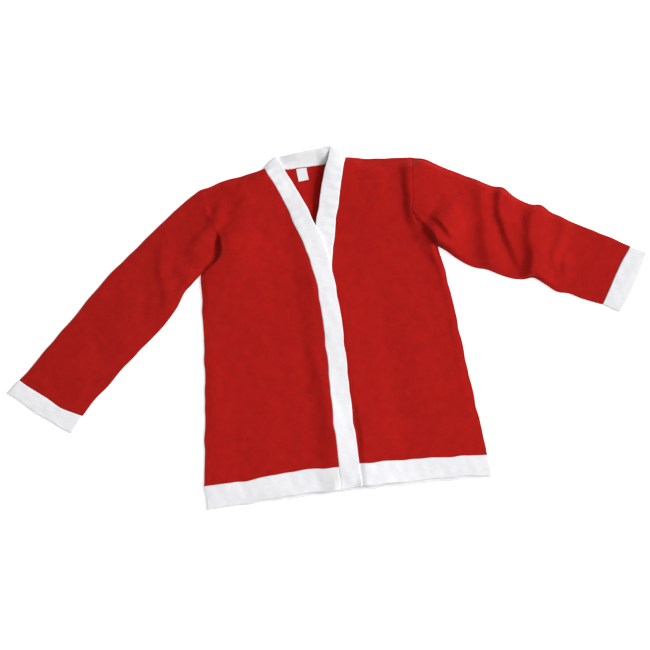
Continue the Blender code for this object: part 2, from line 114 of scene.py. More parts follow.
HEM_SEAM_RIGHT = table("x y", "-312 -319, -212 -318, -140 -312, -72 -310, -6 -313")
HEM_SEAM_LEFT = table("x y", "329 -326, 222 -319, 132 -314, 36 -310")
HEM_EDGE_RIGHT = table("x y", "-312 -374, -209 -368, -122 -363, -8 -364")
HEM_EDGE_LEFT = table("x y", "332 -375, 284 -369, 216 -366, 126 -364, 36 -361")
HEM_SEAM_BACK = table("x y", "-312 -319, -150 -321, 0 -322, 160 -324, 329 -326")
HEM_EDGE_BACK = table("x y", "-312 -374, -150 -372, 0 -371, 160 -373, 332 -377")
print("hem, from side to side:", HEM_SEAM_LEFT["x"][0] - HEM_SEAM_RIGHT["x"][0], "mm")

# %% Sections of the sleeves, from the armhole to the cuff
SLEEVE_RIGHT = table(
    "top_x top_y under_x under_y",
    "-241 342 -262 153, -270 325 -285 133, -312 297 -302 119, -361 259 -343 63, -415 218 -403 14, "
    "-473 173 -442 -19, -536 114 -484 -55, -614 42 -532 -97, -695 -32 -564 -129",
)
SLEEVE_LEFT = table(
    "top_x top_y under_x under_y",
    "241 359 275 151, 266 351 292 140, 302 331 312 121, 336 313 340 100, 371 294 378 85, 398 279 418 67, "
    "414 272 441 57, 435 266 457 54, 460 242 466 55, 490 222 480 55, 516 217 504 38, 537 197 526 20, "
    "566 179 550 11, 632 142 585 -5, 703 101 626 -23",
)
CUFF_SEAM_RIGHT = table("x y", "-695 -32, -655 -67, -610 -105, -564 -129")
CUFF_EDGE_RIGHT = table("x y", "-727 -57, -683 -95, -640 -131, -594 -166")
CUFF_SEAM_LEFT = table("x y", "703 101, 677 61, 651 19, 626 -23")
CUFF_EDGE_LEFT = table("x y", "740 80, 716 38, 690 -5, 664 -46")
print("cuff to cuff:", CUFF_EDGE_LEFT["x"][0] - CUFF_EDGE_RIGHT["x"][0], "mm")

# %% Sections of the front band, from the hem up to the shoulder
# The second row is where the sewn edge passes the hem's seam. The last column is how far the free
# edge stands above the sewn one.
BAND_RIGHT = table(
    "seam_x seam_y free_x free_y rise",
    "-8 -364 39 -361 0, -6 -313 40 -312 0, -6 -200 38 -200 0, -3 -70 39 -70 0, -3 30 39 34 0, "
    "-6 100 34 106 0, -15 157 27 166 0, -29 209 12 221 0.5, -48 268 -11 284 0.5, -70 328 -36 344 1, "
    "-92 373 -61.5 395 1.5",
)
BAND_LEFT = table(
    "seam_x seam_y free_x free_y rise",
    "36 -361 -5 -360 0, 36 -310 -5 -309 0, 34 -200 -4 -200 0, 34 -70 -1 -70 0, 33 30 -1 32 0, "
    "31 100 -4 106 0, 36 155 -6 165 0, 48 209 6 221 0, 61 264 20 277 0.5, 76 320 37 335 1.5, "
    "92 375 62 406 2.5",
)
BAND_NECK = table(  # from the wearer's right shoulder to the left one
    "seam_x seam_y free_x free_y rise",
    "-66 369 -52 397 5, -36 366 -32 398 9, 0 365 2 400 12, 36 366 35 403 11, 68 369 55 406 12",
)
ARMPIT_LEVEL = 0.672  # share of the band seam, above the hem's seam, that lies below the armpits
print("the band's free edge stands up at the back of the neck by up to", BAND_NECK["rise"].max(), "mm")


# %% Smooth curves through the tables
def knots_of(points):
    """Distance along the points, used as the curve's parameter."""
    return np.concatenate([[0], np.cumsum(np.linalg.norm(np.diff(points, axis=0), axis=1))])


def smooth(knots, values, at):
    """A smooth curve through values at knots, read at the given places. Each stretch is a cubic, and
    its slope at a knot is the mean of the slopes beside it, weighted by how near they are."""
    steps = np.diff(knots)[:, None]
    slopes = np.diff(values, axis=0) / steps
    inner = (slopes[:-1] * steps[1:] + slopes[1:] * steps[:-1]) / (steps[:-1] + steps[1:])
    tangents = np.concatenate([slopes[:1], inner, slopes[-1:]])
    i = np.clip(np.searchsorted(knots, at, side="right") - 1, 0, len(knots) - 2)
    h = steps[i]
    t = (np.asarray(at)[:, None] - knots[i][:, None]) / h
    return (
        (1 + 2 * t) * (1 - t) ** 2 * values[i]
        + t * (1 - t) ** 2 * h * tangents[i]
        + t**2 * (3 - 2 * t) * values[i + 1]
        + t**2 * (t - 1) * h * tangents[i + 1]
    )


def curve(rows, shares):
    """Points on the smooth curve through a table's points, at shares of its length."""
    points = points_of(rows)
    knots = knots_of(points)
    return smooth(knots, points, np.asarray(shares) * knots[-1])


def step(value):
    """0 below 0, 1 above 1, and a smooth rise between."""
    t = np.clip(value, 0, 1)
    return t * t * (3 - 2 * t)


back_length = (curve(BACK_NECK, [0.5]) - curve(HEM_EDGE_BACK, [0.5]))[0, 1]
print("centre back, hem to neck seam:", round(back_length), "mm")

# %% [markdown]
# ## The folds
#
# The jacket's back lies flat on the floor. The front lies on the back with a little air between
# them, and it is pressed down where the two are joined: at the shoulders, the sides and the edges of
# the sleeves. So one function can give the height of the whole upper layer: the air, which opens
# away from those edges, and the folds. A fold is a smooth way over the plan with a bell-shaped hump
# or trough across it. It was tempting to use noise for the folds, but folds come from how the cloth
# was pulled, so each one here is placed one by one. A soft fold often has one steep side, so each side
# has its own width. On the sleeves and the fronts the ways run up from the lower edge, so the left
# side of a fold lies towards the wearer's right.


# %% Folds of the left sleeve
def fold(left, right, way):
    """One fold. Its slopes are so wide on the left and on the right of its way, or from one width at
    the start to another at the end. Each point that the way passes through is an x, a y and a rise.
    A trough has rises below 0."""
    left, right = (np.broadcast_to(width, 2) for width in (left, right))
    return {"left": left, "right": right, "way": rows_of(way)}


LEFT_SLEEVE_FOLDS = [
    # three big ripples above the elbow, each steep on the body's side, with grooves between them
    fold(20, 32, "389 82 5, 387 110 8, 385 135 9, 384 160 9, 385 210 9, 386 235 9, 387 262 6.6"),
    fold((10, 13), (26, 52),
         "457 76 1.6, 450 92 3.4, 446 110 5.4, 441 135 7.6, 432 160 9.2, 428 185 10.6, 422 210 11.6, "
         "426 235 11.6, 433 262 11.6"),
    fold((18, 20), (46, 60),
         "480 56 10, 480 72 14.5, 484 90 16, 487 110 16, 486 135 13.8, 486 160 13.4, 491 185 13.2, "
         "508 208 8.5, 520 222 4"),
    # smaller ones towards the cuff, and the cloth's rise to the cuff's thicker seam
    fold(12, 18, "522 70 0, 528 88 3.4, 535 110 4.4, 550 132 4, 562 158 3, 560 182 2.6"),
    fold(9, 14, "551 50 1.5, 553 66 3.2, 554 86 3.4, 560 104 0"),
    fold(7, 8, "520 44 -1.2, 526 58 -1.6, 530 76 0"),
    fold(16, 12, "636 100 0, 652 122 2.4, 670 140 2.4"),
    fold(7, 10, "452 200 0, 459 172 1.2, 463 140 0"),
    fold(14, 14, "318 214 0.3, 306 262 0.9, 290 304 0.4"),
    fold(10, 10, "336 150 -0.3, 340 200 -0.8, 332 262 -0.5"),
]
LEFT_ARMHOLE_FOLDS = [
    # the step up to the sleeve, along the seam
    fold((13, 18), 105,
         "236 194 3.4, 229 215 6.8, 226 235 7.6, 226.5 262 8.6, 227.5 290 9.4, 230 320 10, 234.5 352 13"),
    fold(6, 6, "214 232 -0.4, 211 262 -0.8, 211 292 -0.9, 214 324 -0.7"),
    # the pocket under the arm: a cliff at its edge, then a second crease and the swell after it
    fold(5, (30, 100),
         "281 98 0, 279.5 112 4, 278.5 128 8, 278 142 8.5, 277 152 10, 275 164 13, 270 180 13.5, "
         "260 196 10, 250 211 2.5"),
    fold(14, 75, "268 142 4.6, 266 160 5.6, 261 180 4.6, 254 200 3.6, 246 226 1.2"),
    fold(6, 3.5, "271 148 -0.6, 269 162 -2.6, 264 179 -3.6, 254 195 -2.8, 246 206 -1"),
    fold(8, 88, "314 164 0, 305 179 6.4, 294 196 8.4, 281 214 6.4, 267 227 2.2"),
    # the roll of the side's edge below the arm
    fold(8, 24,
         "294 -140 0.8, 288 -60 1.4, 286 30 1.4, 281 70 2.6, 277 95 2.8, 272 115 2.6, 266 132 2, "
         "262 146 0"),
]
print("folds of the left sleeve:", len(LEFT_SLEEVE_FOLDS + LEFT_ARMHOLE_FOLDS))

# %% Folds of the right sleeve and the chest
RIGHT_ARMHOLE_FOLDS = [
    # the deep crease along the seam's lower half: the body's side of it is a cliff
    fold(5.5, 90,
         "-256 150 4.6, -239 164 6, -220 180 7.4, -210 195 9.4, -206 210 12, -205 224 10.6, -206 237 4.6, "
         "-211 247 0.6"),
    fold(14, 70, "-222 160 1, -200 182 1.8, -188 204 2.3, -185 228 2.3, -190 248 1"),
    fold(7, 4.5, "-252 168 -1.6, -234 180 -2.8, -223 194 -4.6, -218 210 -6.2, -214 228 -3"),
    fold(34, 20, "-290 170 2.5, -262 196 4, -244 216 3"),
    # above it the seam is pressed flat
    fold(2, 2, "-216 252 0, -220 264 0.2, -231 296 0.25, -241 344 0.25"),
    # the small star of creases under the shoulder, and one long crease down the sleeve from it
    fold((12, 9), 20, "-275 214 2, -260 229 3.8, -241 242 4.2, -228 256 4, -219 273 2.8"),
    fold(8, 14, "-227 280 1.5, -231 291 1.4, -235 306 0.6, -238 318 0"),
    fold(6, 6, "-222 284 -0.6, -224 300 -0.8, -227 318 -0.3"),
    fold(10, 16, "-210 274 2.6, -206 286 3.2, -203 300 2.6, -204 316 0"),
    # the chest rises towards the collar, with streaks over it and the shoulder
    fold(52, 120, "-150 215 0, -148 262 5, -146 300 8, -146 340 6.5, -150 372 3"),
    fold(9, 26, "-176 268 0.4, -162 284 2, -149 300 2.4, -136 315 2, -128 326 0.4"),
    fold(9, 20, "-156 328 0.2, -149 340 2, -144 354 2.6"),
    fold(8, 18, "-186 330 0, -183 344 2.2, -180 358 3.4"),
    fold(10, 14, "-112 330 0, -104 345 1.4, -94 362 1.4"),
    fold(7, 9, "-160 192 0, -150 208 1.1, -134 226 0"),
    fold(7, 9, "-182 170 0, -166 188 0.9, -150 202 0"),
]
RIGHT_SLEEVE_FOLDS = [
    fold(12, 22,
         "-352 74 1, -346 92 2.2, -344 130 2.9, -348 164 3.0, -348 192 3.0, -338 224 2.4, -330 250 0.6"),
    fold(10, 14, "-300 150 0, -306 168 1.2, -308 190 0"),
    fold(12, 14, "-314 112 2, -300 132 2.2, -286 152 1.4"),
    fold(26, 26, "-470 -10 0.4, -440 80 1.2, -430 160 0.6"),
    fold(14, 12, "-400 60 -0.3, -396 120 -0.8, -386 190 -0.4"),
    fold(12, 16, "-500 -40 -0.3, -510 20 -0.8, -520 80 -0.4"),
    fold(22, 30, "-560 -90 0.4, -556 -20 1.0, -570 50 0.5"),
    fold(9, 12, "-640 -58 0.8, -652 -40 1.5, -664 -22 0.8"),
]
print("folds of the right sleeve and the chest:", len(RIGHT_ARMHOLE_FOLDS + RIGHT_SLEEVE_FOLDS))

# %% Folds of the fronts and the trims
BODY_FOLDS = [
    # the two fronts stand up towards the collar
    fold(92, 50, "10 180 0, -11 240 2.6, -30 300 3.6, -58 380 1.2"),
    fold(60, 210, "46 185 0, 50 240 4.4, 62 300 9.6, 74 350 11.4, 84 392 8.4"),
    # beside the front band: a ridge on the right front, and the left front dips under its edge
    fold((22, 11), (32, 13),
         "-20 -310 0, -13 -244 3.2, -12 -200 3.4, -16 -150 2.8, -24 -100 2.2, -32 -60 1.6, -38 -30 0.6, "
         "-42 -6 0"),
    fold(60, 60, "18 -376 3, 18 -100 3, 12 120 2.6"),
    fold((11, 7), 60,
         "53 -378 3.6, 55 -290 4.2, 57 -224 4.6, 51 -160 2, 49 -80 2, 49 20 1.8, 46 90 1, 44 140 0"),
    fold(4, 5, "50 -252 0, 60 -250 -0.9, 72 -251 0"),
    fold(4, 5, "50 -205 0, 58 -203 -0.8, 68 -205 0"),
    fold(7, 9, "-16 60 0, -15 96 1.6, -22 140 0"),
    # long, faint swells of the fronts
    fold(20, 26, "-92 -300 0.5, -86 -120 1.0, -84 90 0.5, -96 190 0.2"),
    fold(34, 40, "-160 -330 1.0, -152 -180 1.3, -150 -40 0.5"),
    fold(20, 16, "-232 -316 -0.4, -226 -200 -0.8, -214 -60 -0.4"),
    fold(18, 22, "-284 -280 0.6, -270 -120 1.2, -250 60 0.6"),
    fold(26, 20, "112 -300 0.6, 106 -100 0.9, 96 130 0.5"),
    fold(20, 22, "150 -320 -0.4, 146 -180 -0.7, 140 -60 -0.3"),
    fold(40, 40, "210 -290 0.8, 196 -120 1.2, 180 30 0.5"),
    fold(18, 18, "258 -180 -0.3, 244 -60 -0.6, 230 50 -0.4"),
    fold(20, 16, "306 -270 0.5, 296 -200 1.0, 288 -150 0.6"),
    fold(30, 34, "136 160 0.5, 146 240 1.0, 150 320 0.5"),
    fold(12, 16, "162 262 0, 158 300 1.6, 150 336 0.6"),
    fold(9, 12, "124 268 -0.3, 116 300 -0.8, 112 345 -0.6"),
]
TRIM_FOLDS = [  # short waves up from the free edges of the trims
    fold(18, 22, "-250 -378 0.5, -252 -320 0.2"),
    fold(16, 18, "-176 -374 -0.4, -170 -322 -0.1"),
    fold(19, 16, "-96 -370 0.5, -98 -318 0.2"),
    fold(13, 15, "-40 -368 -0.4, -44 -322 -0.1"),
    fold(18, 17, "96 -368 0.5, 98 -316 0.2"),
    fold(17, 20, "170 -370 -0.4, 168 -318 -0.1"),
    fold(20, 16, "258 -374 0.5, 256 -326 0.2"),
    # the lower edge of each front hem stands off the back hem
    fold(15, 15, "-225 -368 0, -180 -366 2, -110 -362 4, -24 -363 4.4"),
    fold(15, 15, "44 -361 4, 100 -363 3.4, 150 -365 1.6, 200 -367 0"),
    fold(9, 12, "668 -8 0.1, 684 22 0.6, 704 48 0.1"),
    fold(11, 10, "700 40 0.5, 716 74 0.4"),
    fold(10, 12, "-628 -112 0.1, -646 -96 0.5, -664 -80 0.2"),
]
FOLDS = LEFT_SLEEVE_FOLDS + LEFT_ARMHOLE_FOLDS + RIGHT_ARMHOLE_FOLDS
FOLDS += RIGHT_SLEEVE_FOLDS + BODY_FOLDS + TRIM_FOLDS
print("folds placed by hand:", len(FOLDS))

# %% Edges where the two layers meet
NECK_STAND = 44.0  # length of a shoulder seam next to the neck that the trim holds up


def shoulder_seams():
    """The seams where a front is sewn to the back."""
    return [points_of(rows) for rows in (SHOULDER_RIGHT, SHOULDER_LEFT)]


def pressed_seams():
    """The shoulder seams without the stretch next to the neck, where the trim holds them up."""
    seams = []
    for seam in shoulder_seams():
        back = seam[-2] - seam[-1]
        seams.append(np.vstack([seam[:-1], seam[-1] + back * NECK_STAND / np.hypot(*back)]))
    return seams


def joined_edges():
    """The edges of the outline where the two layers meet: shoulders, sleeves and sides."""
    outline = shoulder_seams() + [points_of(SIDE_RIGHT), points_of(SIDE_LEFT)]
    for sleeve in (SLEEVE_RIGHT, SLEEVE_LEFT):
        outline += [points_of(sleeve, "top_x top_y"), points_of(sleeve, "under_x under_y")]
    for seam, edge in ((CUFF_SEAM_RIGHT, CUFF_EDGE_RIGHT), (CUFF_SEAM_LEFT, CUFF_EDGE_LEFT)):
        outline += [np.stack([points_of(seam)[end], points_of(edge)[end]]) for end in (0, -1)]
    for side, edge in ((SIDE_RIGHT, HEM_EDGE_RIGHT), (SIDE_LEFT, HEM_EDGE_LEFT)):
        outline.append(np.stack([points_of(side)[0], points_of(edge)[0]]))
    return outline


def distance_to(lines, x, y):
    """Distance from each point to the nearest of the lines."""
    at = np.stack([x, y], axis=-1)
    nearest = np.full(x.shape, np.inf)
    for line in lines:
        for a, b in zip(line[:-1], line[1:]):
            way = b - a
            t = np.clip(((at - a) @ way) / (way @ way), 0, 1)
            nearest = np.minimum(nearest, np.linalg.norm(at - a - t[..., None] * way, axis=-1))
    return nearest


print("edges where the two layers are joined:", len(joined_edges()))

# %% The height of the folds
WAY_CELL = 5.0  # length of the straight stretches that a fold's way is cut into
BELL_REACH = 2.6  # how many widths away a bell is as good as nothing


def one_fold(at, left, right, way):
    """Height of one fold at each point: its rise, times a bell of the distance aside over the width of
    that side, times a bell of the distance past an end."""
    knots = knots_of(way[:, :2])
    stretches = max(int(knots[-1] / WAY_CELL), 1)
    rows = smooth(knots, way, np.linspace(0, knots[-1], stretches + 1))
    start, along = rows[:-1, :2], np.diff(rows[:, :2], axis=0)
    length = np.linalg.norm(along, axis=1)
    away = at[:, None] - start
    share = (away * along).sum(axis=-1) / length**2
    inside = np.clip(share, 0, 1)
    distance = np.linalg.norm(away - inside[..., None] * along, axis=-1)
    near = distance.argmin(axis=1)
    pick = np.arange(len(at)), near
    end = ((near == 0) & (share[pick] < 0)) | ((near == stretches - 1) & (share[pick] > 1))
    past = np.where(end, np.abs(share[pick] - inside[pick]) * length[near], 0)
    aside = np.sqrt(np.maximum(distance[pick] ** 2 - past**2, 0))
    turned = along[near, 0] * away[pick][:, 1] - along[near, 1] * away[pick][:, 0]
    done = (near + inside[pick]) / stretches
    left, right = (side[0] + (side[1] - side[0]) * done for side in (left, right))
    width = np.where(turned > 0, left, right)
    rise = np.interp(done * stretches, np.arange(stretches + 1), rows[:, 2])
    return rise * np.exp(-((aside / width) ** 2) - (past / (left + right) * 2) ** 2)


def fold_height(x, y):
    """Height of all folds together. Each is worked out only near its way."""
    at = np.stack([x.ravel(), y.ravel()], axis=-1)
    height = np.zeros(len(at))
    for one in FOLDS:
        reach = BELL_REACH * max(*one["left"], *one["right"])
        low, high = one["way"][:, :2].min(axis=0) - reach, one["way"][:, :2].max(axis=0) + reach
        near = ((at > low) & (at < high)).all(axis=1)
        if near.any():
            height[near] += one_fold(at[near], **one)
    return height.reshape(x.shape)


# The cloth is never quite level between its folds. Each row is one long, low wave over the plan, and
# the trims have shorter ones of their own, from the sewing.
WAVE_COLUMNS = "length heading phase rise"
WAVES = table(
    WAVE_COLUMNS, "148 18 0.4 0.3, 97 71 2.1 0.22, 63 128 4.0 0.16, 41 40 1.2 0.11, 29 155 5.2 0.08"
)
TRIM_WAVES = table(WAVE_COLUMNS, "27 15 0.3 0.11, 18 103 1.9 0.07, 13 62 4.2 0.05")


def wave_height(x, y, waves):
    """Height of all waves of a table together, each a sine along its heading."""
    height = np.zeros(x.shape)
    for length, heading, phase, rise in zip(*waves.values()):
        turn = np.radians(heading)
        height += rise * np.sin(2 * np.pi * (x * np.cos(turn) + y * np.sin(turn)) / length + phase)
    return height


highest = max(one["way"][:, 2].max() for one in FOLDS)
print("highest fold, in mm:", highest)

# %% The height of the upper layer
AIR = 1.4  # between back and front, away from the edges where they join
AIR_REACH = 32.0  # how far in from such an edge the air takes to open
FOLD_REACH = 14.0  # how far in from such an edge a fold takes to rise
FOLD_AT_EDGE = 0.45  # share of a fold's height that is left at such an edge
SHOULDER_REACH = 28.0  # how far in from a shoulder seam the front takes to leave the back
SHOULDER_SHARE = 0.2  # share of a fold's height that is left at a shoulder seam
SOFTENING = 1.0  # how softly a deep trough comes to rest on the layer below
HEM_START, HEM_CLIMB = -285, 25  # y where the upper layer climbs onto the back's hem, and its way
OVERLAP_START, OVERLAP_CLIMB = -62, 42  # x where the right front climbs onto the left, and its way
OVERLAP_END, OVERLAP_FADE = 320, 60  # y where it has come down again, and its way


def lift(x, y, lower=FELT, over=False):
    """Height of the upper layer's underside over the floor. It never comes nearer than LAY_GAP to the
    layer below, whose wall is lower. The layer that closes over the other front is over."""
    edge = distance_to(joined_edges(), x, y)
    share = FOLD_AT_EDGE + (1 - FOLD_AT_EDGE) * step(edge / FOLD_REACH)
    free = step(distance_to(pressed_seams(), x, y) / SHOULDER_REACH)
    share *= SHOULDER_SHARE + (1 - SHOULDER_SHARE) * free
    folds = share * (fold_height(x, y) + wave_height(x, y, WAVES))
    height = AIR * (1 - np.exp(-edge / AIR_REACH)) + folds
    clear = 0.5 * (height + np.sqrt(height**2 + SOFTENING**2))  # above 0 however deep a trough is
    height = lower + LAY_GAP + clear
    height += (TRIM - lower) * step((HEM_START - y) / HEM_CLIMB)  # the back's trim is the thicker one
    if over:
        beside = step((x - OVERLAP_START) / OVERLAP_CLIMB)
        height += (TRIM + LAY_GAP) * beside * step((OVERLAP_END - y) / OVERLAP_FADE)
    return height


def steepness(x, y, lower=FELT, over=False):
    """How much thicker the upper layer is when measured straight up, because it slopes."""
    nudge = 0.5
    slope_x = (lift(x + nudge, y, lower, over) - lift(x - nudge, y, lower, over)) / (2 * nudge)
    slope_y = (lift(x, y + nudge, lower, over) - lift(x, y - nudge, lower, over)) / (2 * nudge)
    return np.sqrt(1 + slope_x**2 + slope_y**2)


print("height at the middle of the right front, in mm:", lift(np.array([-150.0]), np.zeros(1)).round(1))

# %% [markdown]
# ## From a plan to a shell of cloth
#
# A cut piece is a grid of points on the plan. Its corners lie on four outlines, and the inside is
# blended from them (a Coons patch). The grid is raised to the middle of the cloth, and the two faces
# lie half a thickness away from it along the surface's own normal. Towards a rim that half thickness
# shrinks to nothing along a quarter circle, so each rim is round and the shell closes by itself,
# with no strip of faces to sew on. It is the same idea as Blender's Solidify, with a better edge.
#
# Hand-cut cloth has no straight line in it. At the very end all points of the jacket drift sideways
# by a millimetre or so, along waves that all pieces share, so edges waver and seams stay closed.


# %% Grids on the plan
def places(length, start=0.0, end=0.0, cell=CELL):
    """Shares of a line of that length for a grid: one point every cell, and a few close together at
    an end that has a rim of the given radius."""
    low = RIM_SHARES * start if start else np.zeros(1)
    high = length - RIM_SHARES[::-1] * end if end else np.full(1, length)
    count = max(int(np.ceil((high[0] - low[-1]) / cell)), 1)
    between = np.linspace(low[-1], high[0], count + 1)[1:-1]
    return np.concatenate([low, between, high]) / length


def patch(start, end, first, last, across):
    """A grid of points between four curves that meet at the corners (a Coons patch). Rows run from
    start to end, the ends of the rows lie on first and last, and across gives the shares of a row."""
    up = knots_of((first + last) / 2)
    u, v = across[None, :, None], (up / up[-1])[:, None, None]
    across_rows = (1 - v) * start[None] + v * end[None]
    along_rows = (1 - u) * first[:, None] + u * last[:, None]
    corners = (
        (1 - u) * (1 - v) * start[0] + u * (1 - v) * start[-1] + (1 - u) * v * end[0] + u * v * end[-1]
    )
    return across_rows + along_rows - corners


def inset(plan, amount, edges):
    """The plan with those edges drawn in, square to each edge, to leave a gap at each seam."""
    moved = plan.copy()
    for edge, here, beside in (
        ("start", np.s_[0, :], np.s_[3, :]),
        ("end", np.s_[-1, :], np.s_[-4, :]),
        ("first", np.s_[:, 0], np.s_[:, 3]),
        ("last", np.s_[:, -1], np.s_[:, -4]),
    ):
        if edge not in edges.split():
            continue
        line = plan[here]
        along = np.gradient(line, axis=0)
        square = np.stack([-along[:, 1], along[:, 0]], axis=-1)
        square /= np.linalg.norm(square, axis=-1, keepdims=True)
        middle = len(line) // 2
        inward = np.sign((plan[beside] - line)[middle] @ square[middle])
        moved[here] += amount * inward * square
    return moved


print("shares of a 12 mm strip with rims:", places(12, SEAM_ROUND, SEAM_ROUND).round(2))


# %% Rims and heights
def round_rim(points, thickness, start=0.0, end=0.0, first=0.0, last=0.0):
    """Half the wall's thickness at each point of a grid. Within the given radius of an edge it
    follows a quarter circle down to nothing. An edge with no radius keeps its full wall."""
    rows = np.cumsum(np.linalg.norm(np.diff(points, axis=0, prepend=points[:1]), axis=-1), axis=0)
    columns = np.cumsum(np.linalg.norm(np.diff(points, axis=1, prepend=points[:, :1]), axis=-1), axis=1)
    share = np.ones(points.shape[:2])
    for radius, away in (
        (start, rows),
        (end, rows[-1:] - rows),
        (first, columns),
        (last, columns[:, -1:] - columns),
    ):
        if radius:
            share = np.minimum(share, np.clip(away / radius, 0, 1))
    return thickness / 2 * np.sqrt(1 - (1 - share) ** 2)


def raised(plan, height):
    """Points of a plan at that height."""
    return np.concatenate([plan, np.broadcast_to(height, plan.shape[:-1])[..., None]], axis=-1)


sample = raised(np.stack(np.meshgrid(np.arange(5.0), np.arange(5.0)), axis=-1), 0.0)
print("half the wall at each mm from a seam:", round_rim(sample, FELT, first=SEAM_ROUND)[0].round(2))


# %% A shell from its middle points
def normals_of(middle, ring):
    """Unit normals of a grid: the cross product of its two ways. A ring's columns close on
    themselves, so its ends are read across the join."""
    grid = np.concatenate([middle[:, -2:], middle, middle[:, :2]], axis=1) if ring else middle
    normal = np.cross(np.gradient(grid, axis=0), np.gradient(grid, axis=1))
    normal = normal[:, 2:-2] if ring else normal
    return normal / np.linalg.norm(normal, axis=-1, keepdims=True)


def grid_faces(rows, columns, ring):
    """Corner numbers of every quad in a grid, as whole arrays."""
    cells = columns if ring else columns - 1
    row, column = np.meshgrid(np.arange(rows - 1), np.arange(cells), indexing="ij")
    beside = (column + 1) % columns
    corners = [row * columns + column, row * columns + beside]
    corners += [(row + 1) * columns + beside, (row + 1) * columns + column]
    return np.stack(corners, axis=-1).reshape(-1, 4)


DRIFT = table("length phase shift", "91 0.8 0.7, 57 3.1 0.45, 36 5.0 0.22")


def drifted(points):
    """The points moved a little sideways, by sines of the other coordinate. All pieces drift together,
    so edges run a little unevenly and no seam opens."""
    moved = points.copy()
    for length, phase, shift in zip(*DRIFT.values()):
        moved[:, :2] += shift * np.sin(2 * np.pi * points[:, 1::-1] / length + phase)
    return moved


def make_mesh(name, points, faces, finish):
    """A smooth mesh object from points in millimetres. Its faces point outwards: the signed volume
    of a closed mesh, the sum over its faces, is above 0 only if they do."""
    used, faces = np.unique(faces, return_inverse=True)
    points, faces = drifted(points[used]) * METRES, faces.reshape(-1, 4)
    a, b, c, d = (points[faces[:, corner]] for corner in range(4))
    volume = (np.cross(a, b) * c).sum() + (np.cross(a, c) * d).sum()
    faces = faces if volume > 0 else faces[:, ::-1]
    mesh = bpy.data.meshes.new(name)
    mesh.from_pydata(points.tolist(), [], faces.tolist())
    mesh.validate()
    mesh.shade_smooth()
    mesh.materials.append(finish)
    made = bpy.data.objects.new(name, mesh)
    bpy.context.scene.collection.objects.link(made)
    print(f"{name}: {len(points)} points, {len(faces)} quads")
    return made


def shell(name, middle, half, finish, ring=False):
    """A closed wall of cloth: one face half a thickness above the middle points, one as far below.
    Where the half thickness is nothing the two faces share their points."""
    rows, columns = middle.shape[:2]
    off = normals_of(middle, ring) * half[..., None]
    points = np.concatenate([(middle + off).reshape(-1, 3), (middle - off).reshape(-1, 3)])
    above = np.arange(rows * columns)
    below = np.where(half.reshape(-1) > 0, above + rows * columns, above)
    faces = grid_faces(rows, columns, ring)
    return make_mesh(name, points, np.concatenate([above[faces], below[faces][:, ::-1]]), finish)


print("each edge wavers by up to", DRIFT["shift"].sum().round(2), "mm")


# %% Pieces of the upper layer
def middle_height(thickness, half):
    """How far the middle points lie over the underside. At a rim they rise or sink so that the top
    falls by SEAM_DEPTH of the wall, and the rest of the rounding is on the underside."""
    return thickness / 2 + (1 - 2 * SEAM_DEPTH) * (thickness / 2 - half)


def upper_sheet(plan, thickness, half, over=False):
    """Middle points of a piece of the upper layer, over its plan. A trim has its own small waves."""
    x, y = plan[..., 0], plan[..., 1]
    height = lift(x, y, over=over) + middle_height(thickness, half) * steepness(x, y, over=over)
    return raised(plan, height + (wave_height(x, y, TRIM_WAVES) if thickness == TRIM else 0))


print("a seam sinks by", round(SEAM_DEPTH * FELT, 2), "mm into the felt")

# %% [markdown]
# ## The felt
#
# Felt is matted fibre. From close by it is a web of fine curly hairs, from arm's length it is faintly
# cloudy, and at a low angle the loose hairs on its surface catch the light. So the finish has three
# parts. The hairs are ridged noise: noise folded about its middle, so that thin lines are left where
# it crosses. Between the hairs the colour leans to a deeper one: that is painted shade, for the
# hollows of the web. The clouds are broad, faint noise in the colour, a tone that varies at random.
# The glow of the loose hairs is the shader's own sheen. Red and white felt are the same cloth in two
# dyes, so both use one node group. The right sleeve has a darker copy of the red: that is painted
# shade, for the light that falls off towards the wearer's right.


# %% Helpers for node trees
def new_group(name, inputs, outputs):
    """A shader node group with float or colour inputs, and the nodes at its two ends."""
    group = bpy.data.node_groups.new(name, "ShaderNodeTree")
    for socket, kind, value in inputs:
        made = group.interface.new_socket(socket, in_out="INPUT", socket_type=kind)
        made.default_value = value
    for socket, kind in outputs:
        group.interface.new_socket(socket, in_out="OUTPUT", socket_type=kind)
    return group, group.nodes.new("NodeGroupInput"), group.nodes.new("NodeGroupOutput")


def math_node(tree, operation, first, second=None, third=None):
    """A Math node on sockets or numbers. It gives its output socket."""
    node = tree.nodes.new("ShaderNodeMath")
    node.operation = operation
    for socket, value in zip(node.inputs, (first, second, third)):
        if isinstance(value, (int, float)):
            socket.default_value = value
        elif value is not None:
            tree.links.new(value, socket)
    return node.outputs[0]


def noise_node(tree, place, scale, detail=2.0, distortion=0.0, roughness=0.5):
    """A Noise Texture with its scale from a number or a socket. It gives its factor."""
    node = tree.nodes.new("ShaderNodeTexNoise")
    node.inputs["Detail"].default_value = detail
    node.inputs["Roughness"].default_value = roughness
    node.inputs["Distortion"].default_value = distortion
    tree.links.new(place, node.inputs["Vector"])
    if isinstance(scale, (int, float)):
        node.inputs["Scale"].default_value = scale
    else:
        tree.links.new(scale, node.inputs["Scale"])
    return node.outputs["Fac"]


def ridges(tree, noise, sharpness):
    """Thin lines where a noise crosses its middle: (1 - |2 n - 1|) to a power."""
    folded = math_node(tree, "ABSOLUTE", math_node(tree, "MULTIPLY_ADD", noise, 2.0, -1.0))
    return math_node(tree, "POWER", math_node(tree, "SUBTRACT", 1.0, folded), sharpness)


MIX_FIRST, MIX_SECOND, MIX_RESULT = 6, 7, 2  # a Mix node's colour sockets, after those for numbers


